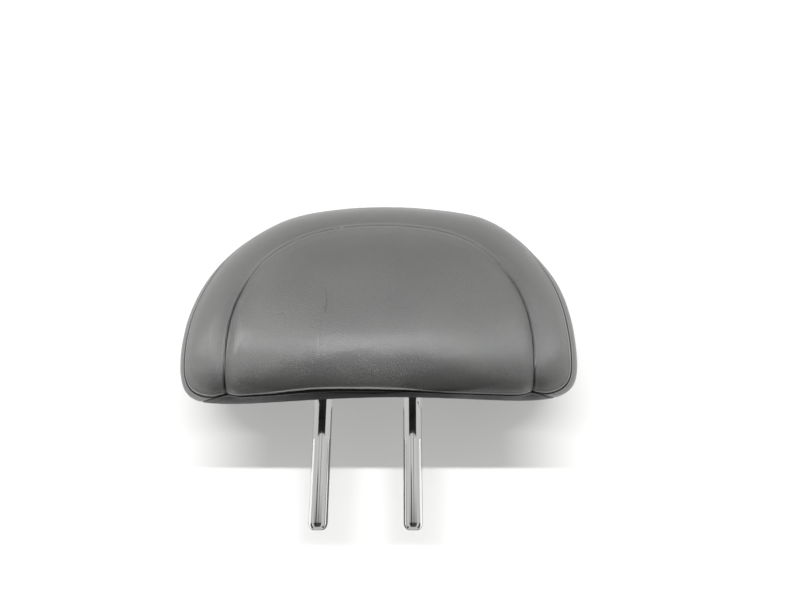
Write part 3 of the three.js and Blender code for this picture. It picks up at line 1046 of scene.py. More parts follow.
        back = self.back_patch(share)
        slit = self.slit_latitude(under)
        return {
            "centre_panel": self.panel(
                "centre_panel",
                Patch(self.front_surface, np.zeros_like(inner), inner, seam_first=False),
                "front_centre_panel", True, inner=34,
            ),
            "border_panel": self.panel(
                "border_panel", Patch(self.front_surface, inner[over], edge[over]),
                "front_border_panel", False, inner=16,
            ),
            "gusset_band": self.panel(
                "gusset_band", strip(side, form.front_seam_at(side), form.rear_seam_at(side)),
                "side_band", False,
            ),
            "rear_panel": self.panel("rear_panel", back, "back_panel", True, inner=30),
            "underside_front": self.panel(
                "underside_front", strip(under, form.front_seam_at(under), slit),
                "underside_front_flap", False,
            ),
            "underside_rear": self.panel(
                "underside_rear", strip(under, slit, form.rear_seam_at(under)),
                "underside_rear_flap", False, inner=8,
            ),
        }

    def back_patch(self, share: np.ndarray) -> Patch:
        """Lays out the columns of the rear face, from its middle to the rear seam.

        Args:
            share: the columns' shares of the ring's length.

        Returns:
            The columns.
        """
        form = self.form
        ends = form.seen(share, form.rear_seam_at(share), rear=True)
        starts = np.zeros_like(ends) + np.array([0, form.rear_pole])

        def rear_face(x: np.ndarray, z: np.ndarray) -> np.ndarray:
            """Finds points of the rear face."""
            return form.face(x, z, rear=True)

        return Patch(rear_face, starts, ends, seam_first=False)


@dataclass
class CushionFill:
    """Fills the closed cushion by a cloth simulation, with its seams held."""

    voxel: float = 5 * MM
    pressure: float = 20.0
    frames: int = 20
    held: float = 4 * MM
    cap: float = 2.4 * MM
    mass: float = 0.05
    stiffness: float = 1.0
    shear_share: float = 1 / 3
    bending: float = 0.1
    quality: int = 5
    sections: tuple[int, int] = (200, 110)

    def closed_form(self, form: PadForm, inset: float, name: str) -> bpy.types.Mesh:
        """Makes the whole cushion as one closed mesh.

        Args:
            form: the pad's form.
            inset: how far inside the cover's surface it lies.
            name: the mesh's name.

        Returns:
            The mesh.
        """
        bm = bmesh.new()
        round_steps, upright_steps = self.sections
        bmesh.ops.create_uvsphere(bm, u_segments=round_steps, v_segments=upright_steps, radius=1)
        mesh = mesh_from(name, bm)
        flat = coordinates(mesh)
        share = np.arctan2(flat[:, 0], flat[:, 1]) / (2 * math.pi)
        latitude = np.degrees(np.arcsin(np.clip(flat[:, 2], -1, 1)))
        place_vertices(mesh, form.at(share, latitude, inset))
        cleaned(mesh)
        return mesh

    def swell(self, form: PadForm, seams: SeamMap) -> Swell:
        """Simulates the filled cushion.

        Args:
            form: the pad's form.
            seams: the seams, which are held.

        Returns:
            How far the cushion stands proud of its form.
        """
        closed = piece_from("fill_form", self.closed_form(form, 0.0, "fill_form"))
        remesh = closed.modifiers.new("voxels", "REMESH")
        remesh.mode = "VOXEL"
        remesh.voxel_size = self.voxel
        graph = bpy.context.evaluated_depsgraph_get()
        fill = piece_from("fill", bpy.data.meshes.new_from_object(closed.evaluated_get(graph)))
        bpy.data.objects.remove(closed)
        before = coordinates(fill.data)
        near, _ = seams.nearest(before)
        held = fill.vertex_groups.new(name="held")
        held.add([int(i) for i in np.flatnonzero(near < self.held)], 1.0, "REPLACE")
        cloth = fill.modifiers.new("filling", "CLOTH")
        settings = cloth.settings
        settings.quality = self.quality
        settings.mass = self.mass
        settings.tension_stiffness = self.stiffness
        settings.compression_stiffness = self.stiffness
        settings.shear_stiffness = self.stiffness * self.shear_share
        settings.bending_stiffness = self.bending
        settings.vertex_group_mass = held.name
        settings.use_pressure = True
        settings.uniform_pressure_force = self.pressure
        settings.effector_weights.gravity = 0
        cloth.point_cache.frame_start = 1
        cloth.point_cache.frame_end = self.frames
        scene = bpy.context.scene
        for step in range(1, self.frames + 1):
            scene.frame_set(step)
        graph = bpy.context.evaluated_depsgraph_get()
        filled = bpy.data.meshes.new_from_object(fill.evaluated_get(graph))
        moves = coordinates(filled) - before
        scene.frame_set(1)
        bpy.data.objects.remove(fill)
        size = np.linalg.norm(moves, axis=1, keepdims=True)
        moves *= self.cap * np.tanh(size / self.cap) / np.maximum(size, 1e-9)
        LOG.info("fill: mean move %.2f mm, most %.2f mm", size.mean() / MM, size.max() / MM)
        return Swell(search_tree(before), moves)

    def foam(self, form: PadForm, swell: Swell, inset: float = 4.4 * MM) -> bpy.types.Object:
        """Makes the foam that fills the cover.

        Args:
            form: the pad's form.
            swell: how far the cushion stands proud.
            inset: how far inside the cover's surface the foam lies.

        Returns:
            The foam.
        """
        mesh = self.closed_form(form, inset, "foam_cushion")
        points = coordinates(mesh)
        place_vertices(mesh, points + swell.at(points))
        piece = piece_from("foam_cushion", mesh)
        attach(piece, ROOT)
        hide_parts("foam_core")
        return piece


@dataclass
class PostFrame:
    """The bent bar: two posts under the pad, joined by a cross bar inside it."""

    diameter: float = 13 * MM
    spacing: float = 64.5 * MM
    height: float = 178 * MM
    bend_radius: float = 20 * MM
    tip_flat: float = 5.6 * MM
    tip_shoulder: float = 5.0 * MM
    sides: int = 72
    bend_steps: int = 20
    shoulder_steps: int = 10

    def tip_ring(self, step: int) -> tuple[float, float]:
        """Gives the radius and height of a ring of a post's rounded shoulder.

        Args:
            step: the ring's number, from the tip.

        Returns:
            The radius and height.
        """
        angle = math.pi / 2 * step / self.shoulder_steps
        flat = self.tip_flat / 2
        radius = flat + (self.diameter / 2 - flat) * math.sin(angle)
        return radius, self.tip_shoulder * (1 - math.cos(angle))

    @staticmethod
    def extruded(bm: bmesh.types.BMesh, ring: Ring, move: Vector) -> Ring:
        """Extrudes a ring of edges and moves the new ring.

        Args:
            bm: the mesh.
            ring: the ring's edges.
            move: how far the new ring goes.

        Returns:
            The new ring's edges.
        """
        made = bmesh.ops.extrude_edge_only(bm, edges=ring)["geom"]
        verts = [part for part in made if isinstance(part, bmesh.types.BMVert)]
        edges = [part for part in made if isinstance(part, bmesh.types.BMEdge)]
        bmesh.ops.translate(bm, verts=verts, vec=move)
        return [edge for edge in edges if set(edge.verts) <= set(verts)]

    @staticmethod
    def widened(bm: bmesh.types.BMesh, ring: Ring, axis_x: float, factor: float) -> None:
        """Scales a level ring about a post's axis.

        Args:
            bm: the mesh.
            ring: the ring's edges.
            axis_x: where the axis is across.
            factor: how much wider the ring gets.
        """
        verts = list({vert for edge in ring for vert in edge.verts})
        axis = Matrix.Translation((-axis_x, 0, 0))
        bmesh.ops.scale(bm, verts=verts, vec=(factor, factor, 1), space=axis)

    @staticmethod
    def turned(bm: bmesh.types.BMesh, ring: Ring, centre: Vector, steps: int) -> Ring:
        """Turns a ring through a quarter bend.

        Args:
            bm: the mesh.
            ring: the ring's edges.
            centre: a point on the bend's axis.
            steps: how many rings the bend has.

        Returns:
            The last ring's edges.
        """
        made = bmesh.ops.spin(
            bm,
            geom=list({vert for edge in ring for vert in edge.verts}) + ring,
            cent=centre,
            axis=(0, 1, 0),
            angle=math.pi / 2,
            steps=steps,
            use_duplicate=False,
        )
        return [part for part in made["geom_last"] if isinstance(part, bmesh.types.BMEdge)]

    def build(self) -> bpy.types.Object:
        """Makes the frame, from the left post's tip over the cross bar to the right post's tip.

        Returns:
            The frame.
        """
        bm = bmesh.new()
        half = self.spacing / 2
        top = self.height - self.diameter / 2
        shoulder = top - self.bend_radius
        inner = half - self.bend_radius
        rings = [self.tip_ring(step) for step in range(self.shoulder_steps + 1)]
        foot = Matrix.Translation((-half, 0, 0))
        made = bmesh.ops.create_circle(
            bm, cap_ends=True, segments=self.sides, radius=rings[0][0], matrix=foot
        )
        ring = list({edge for vert in made["verts"] for edge in vert.link_edges})
        for before, after in zip(rings, rings[1:]):
            ring = self.extruded(bm, ring, Vector((0, 0, after[1] - before[1])))
            self.widened(bm, ring, -half, after[0] / before[0])
        ring = self.extruded(bm, ring, Vector((0, 0, shoulder - self.tip_shoulder)))
        ring = self.turned(bm, ring, Vector((-inner, 0, shoulder)), self.bend_steps)
        ring = self.extruded(bm, ring, Vector((2 * inner, 0, 0)))
        ring = self.turned(bm, ring, Vector((inner, 0, shoulder)), self.bend_steps)
        ring = self.extruded(bm, ring, Vector((0, 0, self.tip_shoulder - shoulder)))
        for before, after in zip(rings[::-1], rings[-2::-1]):
            ring = self.extruded(bm, ring, Vector((0, 0, after[1] - before[1])))
            self.widened(bm, ring, half, after[0] / before[0])
        bmesh.ops.contextual_create(bm, geom=ring)
        bmesh.ops.recalc_face_normals(bm, faces=bm.faces)
        for part in bm.faces:
            part.smooth = len(part.verts) == 4
        piece = piece_from("post_bar", mesh_from("post_bar", bm))
        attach(piece, ROOT)
        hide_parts("post_frame")
        return piece


def leather_grain() -> bpy.types.NodeTree:
    """Makes the group that gives fine pebbled leather grain.

    Returns:
        The group, with the height of the grain and a mask of its creases.
    """
    tree, given, result = node_group(
        "leather_grain",
        {"Vector": ("Vector", None), "Cells": ("Float", 900.0), "Wander": ("Float", 0.25)},
        {"Height": "Float", "Creases": "Float"},
    )
    scaled = tree.vector("SCALE", given.outputs["Vector"])
    tree.feed(scaled.inputs["Scale"], given.outputs["Cells"])
    drift = tree.add("TexNoise", in_Vector=scaled.outputs[0], in_Scale=0.6, in_Detail=2.0)
    centred = tree.vector("SUBTRACT", drift.outputs["Color"], (0.5, 0.5, 0.5))
    pushed = tree.vector("SCALE", centred.outputs[0])
    tree.feed(pushed.inputs["Scale"], given.outputs["Wander"])
    moved = tree.vector("ADD", scaled.outputs[0], pushed.outputs[0])
    cells = tree.add("TexVoronoi", feature="DISTANCE_TO_EDGE", in_Vector=moved.outputs[0], in_Scale=1.0)
    creases = tree.ease(cells.outputs["Distance"], 0.0, 0.16, 1, 0)
    pores = tree.add("TexNoise", in_Vector=moved.outputs[0], in_Scale=2.6, in_Detail=3.0)
    raised = tree.math("MULTIPLY_ADD", creases, -0.75, pores.outputs["Fac"])
    tree.feed(result.inputs["Height"], raised)
    tree.feed(result.inputs["Creases"], creases)
    return tree.tree


def mottle() -> bpy.types.NodeTree:
    """Makes the group that gives a soft uneven tone, broad and fine.

    Returns:
        The group, with the tone from 0 to 1.
    """
    tree, given, result = node_group(
        "mottle",
        {
            "Vector": ("Vector", None),
            "Broad": ("Float", 22.0),
            "Fine": ("Float", 420.0),
            "Fine Share": ("Float", 0.3),
        },
        {"Tone": "Float"},
    )
    place = given.outputs["Vector"]
    broad = tree.add("TexNoise", in_Vector=place, in_Scale=given.outputs["Broad"], in_Detail=3.0)
    fine = tree.add("TexNoise", in_Vector=place, in_Scale=given.outputs["Fine"], in_Detail=4.0)
    share = given.outputs["Fine Share"]
    mixed = tree.blend(share, broad.outputs["Fac"], fine.outputs["Fac"], kind="FLOAT")
    tree.feed(result.inputs["Tone"], tree.ease(mixed, 0.3, 0.7))
    return tree.tree


def wear_and_shade_line() -> bpy.types.NodeTree:
    """Makes the group that masks a thin line between two points, seen from the front, for worn scratches
    and painted crease shade.

    Returns:
        The group, with a mask that is 1 on the line.
    """
    tree, given, result = node_group(
        "wear_and_shade_line",
        {
            "Vector": ("Vector", None),
            "Start": ("Vector", (0, 0, 0)),
            "End": ("Vector", (0, 0, 0)),
            "Width": ("Float", 0.001),
        },
        {"Mask": "Float"},
    )
    flat = tree.vector("MULTIPLY", given.outputs["Vector"], (1, 0, 1))
    wander = tree.add("TexNoise", in_Vector=given.outputs["Vector"], in_Scale=260.0, in_Detail=1.0)
    off = tree.vector("SUBTRACT", wander.outputs["Color"], (0.5, 0.5, 0.5))
    small = tree.vector("MULTIPLY", off.outputs[0], (0.0012, 0, 0.0012))
    place = tree.vector("ADD", flat.outputs[0], small.outputs[0])
    away = tree.vector("SUBTRACT", place.outputs[0], given.outputs["Start"])
    line = tree.vector("SUBTRACT", given.outputs["End"], given.outputs["Start"])
    reach = tree.vector("DOT_PRODUCT", away.outputs[0], line.outputs[0])
    whole = tree.vector("DOT_PRODUCT", line.outputs[0], line.outputs[0])
    share = tree.math("DIVIDE", reach.outputs["Value"], whole.outputs["Value"], clamp=True)
    along = tree.vector("SCALE", line.outputs[0])
    tree.feed(along.inputs["Scale"], share)
    rest = tree.vector("DISTANCE", away.outputs[0], along.outputs[0])
    near = tree.math("DIVIDE", rest.outputs["Value"], given.outputs["Width"])
    tree.feed(result.inputs["Mask"], tree.ease(near, 0.0, 1.0, 1, 0))
    return tree.tree


def seam_wear_shade_and_highlight() -> bpy.types.NodeTree:
    """Makes the group that masks painted shade, partly dirt, in and beside a seam's groove, and a painted
    highlight, partly wear, on the rolled leather edge beside it.

    Returns:
        The group, with a mask of the painted groove shade and one of the painted edge highlight.
    """
    tree, given, result = node_group(
        "seam_wear_shade_and_highlight",
        {
            "Distance": ("Float", 1.0),
            "Groove": ("Float", 1.0),
            "Rim": ("Float", 0.0),
            "Reach": ("Float", 0.0015),
            "Soft Reach": ("Float", 0.006),
            "Soft Share": ("Float", 0.25),
            "Rim Place": ("Float", 0.0011),
            "Rim Width": ("Float", 0.0008),
        },
        {"Shade And Dirt": "Float", "Highlight And Wear": "Float"},
    )
    distance, groove = given.outputs["Distance"], given.outputs["Groove"]
    # Painted shade, partly dirt: sharp in the groove and softer beside it.
    sharp = tree.ease(distance, 0.0, tree.math("MULTIPLY", given.outputs["Reach"], groove), 1, 0)
    soft = tree.ease(distance, 0.0, given.outputs["Soft Reach"], given.outputs["Soft Share"], 0)
    both = tree.math("MULTIPLY", tree.math("MAXIMUM", sharp, soft), groove)
    # A painted highlight, partly wear, on the rolled leather edge beside the seam.
    away = tree.math("ABSOLUTE", tree.math("SUBTRACT", distance, given.outputs["Rim Place"]))
    edge = tree.ease(tree.math("DIVIDE", away, given.outputs["Rim Width"]), 0, 1, 1, 0)
    tree.feed(result.inputs["Shade And Dirt"], both)
    tree.feed(result.inputs["Highlight And Wear"], tree.math("MULTIPLY", edge, given.outputs["Rim"]))
    return tree.tree


class SharedEffects:
    """The node groups that several finishes use."""

    def __init__(self) -> None:
        """Makes each group once."""
        self.grain = leather_grain()
        self.mottle = mottle()
        self.line = wear_and_shade_line()
        self.seam = seam_wear_shade_and_highlight()


def started(name: str) -> tuple[bpy.types.Material, Tree, bpy.types.Node, Socket]:
    """Starts a material.

    Args:
        name: the material's name.

    Returns:
        The material, its tree, its Principled BSDF and the Object coordinates.
    """
    material = bpy.data.materials.new(name)
    material.use_nodes = True
    tree = Tree(material.node_tree)
    shader = material.node_tree.nodes["Principled BSDF"]
    return material, tree, shader, tree.add("TexCoord").outputs["Object"]


def placed_group(tree: Tree, group: bpy.types.NodeTree, **values: object) -> bpy.types.Node:
    """Places a shared group in a material, with its values by input name.

    Args:
        tree: the material's tree.
        group: the shared group.
        values: values or sockets by input name.

    Returns:
        The group's node.
    """
    node = tree.tree.nodes.new("ShaderNodeGroup")
    node.node_tree = group
    for name, value in values.items():
        tree.feed(node.inputs[name.replace("_", " ")], value)
    return node


def bumped(tree: Tree, shader: bpy.types.Node, height: Socket, depth: float) -> None:
    """Gives a shader a fine relief of the given depth."""
    bump = tree.add("Bump", in_Strength=1.0, in_Distance=depth, in_Height=height)
    tree.feed(shader.inputs["Normal"], bump.outputs[0])


@dataclass(frozen=True)
class WearAndShadeMark:
    """A thin line mark, for worn scratches and the painted shade of creases: where it runs in front view
    and its width, in millimetres, and how it tints.
    """

    start: tuple[float, float]
    end: tuple[float, float]
    width: float
    tint: Colour
    strength: float

    def share(self, tree: Tree, effects: SharedEffects, place: Socket) -> Socket:
        """Gives how much of the mark shows at each place.

        Args:
            tree: the material's tree.
            effects: the shared groups.
            place: the Object coordinates.

        Returns:
            The tint's share of the colour.
        """
        line = placed_group(
            tree,
            effects.line,
            Vector=place,
            Start=(self.start[0] * MM, 0, self.start[1] * MM),
            End=(self.end[0] * MM, 0, self.end[1] * MM),
            Width=self.width * MM,
        )
        return tree.math("MULTIPLY", line.outputs["Mask"], self.strength)


@dataclass(frozen=True)
class LeatherFinish:
    """Grained leather with a thin satin topcoat, painted shade in and beside its seams and grain creases,
    and a painted highlight on the seams' rolled edges.
    """

    name: str
    light: Colour
    dark: Colour
    roughness: tuple[float, float] = (0.28, 0.36)
    grain_depth: float = 0.11 * MM
    cells: float = 820.0
    seam_reach: float = 2.9 * MM
    seam_shade: float = 0.92
    soft_reach: float = 8.0 * MM
    soft_shade: float = 0.32
    rim: tuple[float, float] = (2.1 * MM, 1.0 * MM)
    # Tone of the painted highlight on the rolled seam edges.
    rim_highlight_tone: Colour = (0.5, 0.5, 0.48, 1)
    rim_highlight_share: float = 0.7
    crease_shade: float = 0.12
    # Near-black of the painted shade in the grooves and grain creases.
    groove_shade_tone: Colour = (0.003, 0.003, 0.003, 1)
    marks: tuple[WearAndShadeMark, ...] = ()

    def material(self, effects: SharedEffects) -> bpy.types.Material:
        """Makes the material.

        Args:
            effects: the shared groups.

        Returns:
            The material.
        """
        material, tree, shader, place = started(self.name)
        tone = placed_group(tree, effects.mottle, Vector=place).outputs["Tone"]
        grain = placed_group(tree, effects.grain, Vector=place, Cells=self.cells)
        colour = tree.blend(tone, self.dark, self.light)
        seam = placed_group(
            tree,
            effects.seam,
            Distance=tree.add("Attribute", attribute_name="seam_distance").outputs["Fac"],
            Groove=tree.add("Attribute", attribute_name="seam_groove").outputs["Fac"],
            Rim=tree.add("Attribute", attribute_name="seam_rim").outputs["Fac"],
            Reach=self.seam_reach,
            Soft_Reach=self.soft_reach,
            Soft_Share=self.soft_shade,
            Rim_Place=self.rim[0],
            Rim_Width=self.rim[1],
        )
        # Lightens the rolled seam edges: a painted highlight, partly wear.
        edge = tree.math("MULTIPLY", seam.outputs["Highlight And Wear"], self.rim_highlight_share)
        colour = tree.blend(edge, colour, self.rim_highlight_tone)
        # Darkens the seam grooves, the leather beside them and the grain's creases to near-black: painted
        # shade, at the seams partly dirt.
        shade = tree.math("MULTIPLY", seam.outputs["Shade And Dirt"], self.seam_shade)
        creases = grain.outputs["Creases"]
        crease_and_seam_shade = tree.math("MULTIPLY_ADD", creases, self.crease_shade, shade, clamp=True)
        colour = tree.blend(crease_and_seam_shade, colour, self.groove_shade_tone)
        for mark in self.marks:
            colour = tree.blend(mark.share(tree, effects, place), colour, mark.tint)
        tree.feed(shader.inputs["Base Color"], colour)
        tree.feed(shader.inputs["Roughness"], tree.ease(tone, 0.0, 1.0, *self.roughness))
        bumped(tree, shader, grain.outputs["Height"], self.grain_depth)
        return material


@dataclass(frozen=True)
class ChromeFinish:
    """Polished chrome plate with faint polishing lines along the posts and a few worn marks."""

    name: str
    colour: Colour = (0.80, 0.80, 0.79, 1)
    dull: float = 0.94
    roughness: tuple[float, float] = (0.03, 0.10)
    drawn: tuple[float, float, float] = (1, 1, 0.03)
    mark_roughness: float = 0.4
    marks: tuple[WearAndShadeMark, ...] = ()

    def material(self, effects: SharedEffects) -> bpy.types.Material:
        """Makes the material.

        Args:
            effects: the shared groups.

        Returns:
            The material.
        """
        material, tree, shader, place = started(self.name)
        lines = tree.vector("MULTIPLY", place, self.drawn).outputs[0]
        tone = placed_group(tree, effects.mottle, Vector=lines, Broad=300.0, Fine=1800.0, Fine_Share=0.5)
        darker = tuple(self.dull * part for part in self.colour[:3]) + (1,)
        colour = tree.blend(tone.outputs["Tone"], darker, self.colour)
        rough = tree.ease(tone.outputs["Tone"], 0.0, 1.0, *self.roughness)
        for mark in self.marks:
            share = mark.share(tree, effects, place)
            colour = tree.blend(share, colour, mark.tint)
            rough = tree.math("MULTIPLY_ADD", share, self.mark_roughness, rough, clamp=True)
        tree.feed(shader.inputs["Base Color"], colour)
        tree.feed(shader.inputs["Roughness"], rough)
        shader.inputs["Metallic"].default_value = 1.0
        return material


@dataclass(frozen=True)
class PlainFinish:
    """A moulded, foamed or plated finish with an uneven tone and a fine rough surface."""

    name: str
    light: Colour
    dark: Colour
    roughness: tuple[float, float]
    grain_depth: float
    fine: float = 900.0
    metallic: float = 0.0

    def material(self, effects: SharedEffects) -> bpy.types.Material:
        """Makes the material.

        Args:
            effects: the shared groups.

        Returns:
            The material.
        """
        material, tree, shader, place = started(self.name)
        tone = placed_group(tree, effects.mottle, Vector=place, Broad=60.0, Fine=self.fine, Fine_Share=0.5)
        tree.feed(shader.inputs["Base Color"], tree.blend(tone.outputs["Tone"], self.dark, self.light))
        tree.feed(shader.inputs["Roughness"], tree.ease(tone.outputs["Tone"], 0.0, 1.0, *self.roughness))
        bumped(tree, shader, tone.outputs["Tone"], self.grain_depth)
        shader.inputs["Metallic"].default_value = self.metallic
        return material


def dressed(piece: bpy.types.Object, material: bpy.types.Material) -> None:
    """Gives a piece its one material.

    Args:
        piece: the piece.
        material: its material.
    """
    piece.data.materials.clear()
    piece.data.materials.append(material)
    for part in piece.data.polygons:
        part.material_index = 0


@dataclass(frozen=True)
class PaperFinish:
    """Pale matte paper of the floor and backdrop, whose emission, a little less to the camera, is painted
    fill light that lifts the shadows on it and lights the pad.
    """

    name: str
    see_through: bool = False
    light: Colour = (0.45, 0.45, 0.447, 1)
    dark: Colour = (0.42, 0.42, 0.418, 1)
    patches: float = 9.0
    roughness: float = 0.9
    gloss: float = 0.1
    painted_glow_tone: Colour = (1, 0.998, 0.99, 1)
    painted_glow: tuple[float, float] = (-0.135, 0.5)

    def material(self) -> bpy.types.Material:
        """Makes the material.

        Returns:
            The material, clear from behind and to shadow rays if it is see-through.
        """
        material, tree, shader, place = started(self.name)
        noise = tree.add("TexNoise", in_Vector=place, in_Scale=self.patches)
        rays = tree.add("LightPath")
        tree.feed(shader.inputs["Base Color"], tree.blend(noise.outputs["Fac"], self.dark, self.light))
        shader.inputs["Roughness"].default_value = self.roughness
        shader.inputs["Specular IOR Level"].default_value = self.gloss
        # Painted fill light: the paper emits, so the shadows cast on it stay light and the backdrop lights
        # the pad.
        shader.inputs["Emission Color"].default_value = self.painted_glow_tone
        painted_glow = tree.math("MULTIPLY_ADD", rays.outputs["Is Camera Ray"], *self.painted_glow)
        tree.feed(shader.inputs["Emission Strength"], painted_glow)
        if self.see_through:
            back = tree.add("NewGeometry").outputs["Backfacing"]
            mixed = tree.add("MixShader")
            tree.feed(mixed.inputs[0], tree.math("MAXIMUM", back, rays.outputs["Is Shadow Ray"]))
            tree.feed(mixed.inputs[1], shader.outputs[0])
            tree.feed(mixed.inputs[2], tree.add("BsdfTransparent").outputs[0])
            out = material.node_tree.nodes["Material Output"]
            tree.feed(out.inputs["Surface"], mixed.outputs[0])
        return material


@dataclass(frozen=True)
class Card:
    """A card near the part that the camera doesn't see: bright ones are painted reflections of a bright
    surround, dark ones painted shade in the mirror of the chrome, and the flag a hidden shadow caster. Its
    middle and size are in millimetres.
    """

    name: str
    centre: tuple[float, float, float]
    size: tuple[float, float]
    strength: float
    turn: float = 0.0
    tilt: float = math.pi / 2
    patches: float = 30.0
    faint: Colour = (0.9, 0.9, 0.9, 1)
    full: Colour = (1, 1, 1, 1)
    hidden_from: tuple[str, ...] = ("camera", "diffuse", "transmission", "shadow", "volume_scatter")

    def material(self) -> bpy.types.Material:
        """Makes the material, a faintly uneven painted emission.

        Returns:
            The material.
        """
        material, tree, _, place = started(self.name)
        noise = tree.add("TexNoise", in_Vector=place, in_Scale=self.patches)
        painted_glow = tree.add("Emission", in_Strength=self.strength)
        tree.feed(painted_glow.inputs["Color"], tree.blend(noise.outputs["Fac"], self.faint, self.full))
        tree.feed(material.node_tree.nodes["Material Output"].inputs["Surface"], painted_glow.outputs[0])
        return material

    def build(self) -> bpy.types.Object:
        """Puts the card up.

        Returns:
            The card.
        """
        bm = bmesh.new()
        bmesh.ops.create_grid(bm, x_segments=1, y_segments=1, size=0.5)
        bmesh.ops.scale(bm, verts=bm.verts, vec=(self.size[0] * MM, self.size[1] * MM, 1))
        place = Matrix.Translation([part * MM for part in self.centre]) @ Matrix.Rotation(self.turn, 4, "Z")
        bmesh.ops.transform(bm, verts=bm.verts, matrix=place @ Matrix.Rotation(self.tilt, 4, "X"))
        card = piece_from(self.name, mesh_from(self.name, bm))
        dressed(card, self.material())
        for ray in self.hidden_from:
            setattr(card, "visible_" + ray, False)
        return card


FACING_ACROSS = math.pi / 2
# Bright cards show only in reflections: painted reflections of a bright surround on the chrome and leather.
CARDS = (
    Card("card_left", (-64.5, -23, 20), (22, 116), 0.66, FACING_ACROSS),
    Card("card_middle", (0, -23, 20), (22, 116), 0.66, FACING_ACROSS),
    Card("card_right", (64.5, -23, 20), (22, 116), 0.66, FACING_ACROSS),
    Card("card_under_left", (-32.25, 0, -22), (44, 44), 0.6, tilt=0),
    Card("card_under_right", (32.25, 0, -22), (44, 44), 0.6, tilt=0),
    Card("card_under_left_left", (-46.25, -6.5, 79), (20, 36), 0.7, FACING_ACROSS),
    Card("card_under_left_right", (-18.25, -6.5, 79), (20, 36), 0.7, FACING_ACROSS),
    Card("card_under_right_left", (18.25, -6.5, 79), (20, 36), 0.7, FACING_ACROSS),
    Card("card_under_right_right", (46.25, -6.5, 79), (20, 36), 0.7, FACING_ACROSS),
    # Dark cards seen only in reflections: painted shade under the pad's lip and behind the posts, in the
    # mirror of the chrome.
    Card("shade_card_lip", (0, -64, 79), (190, 19), 0.02),
    Card("shade_card_behind", (0, 37, 25), (130, 130), 0.2),
)
FLAG = Card(
    "flag",
    (8, -22, 72),
    (246, 26),
    0.02,
    hidden_from=("camera", "diffuse", "glossy", "transmission", "volume_scatter"),
)


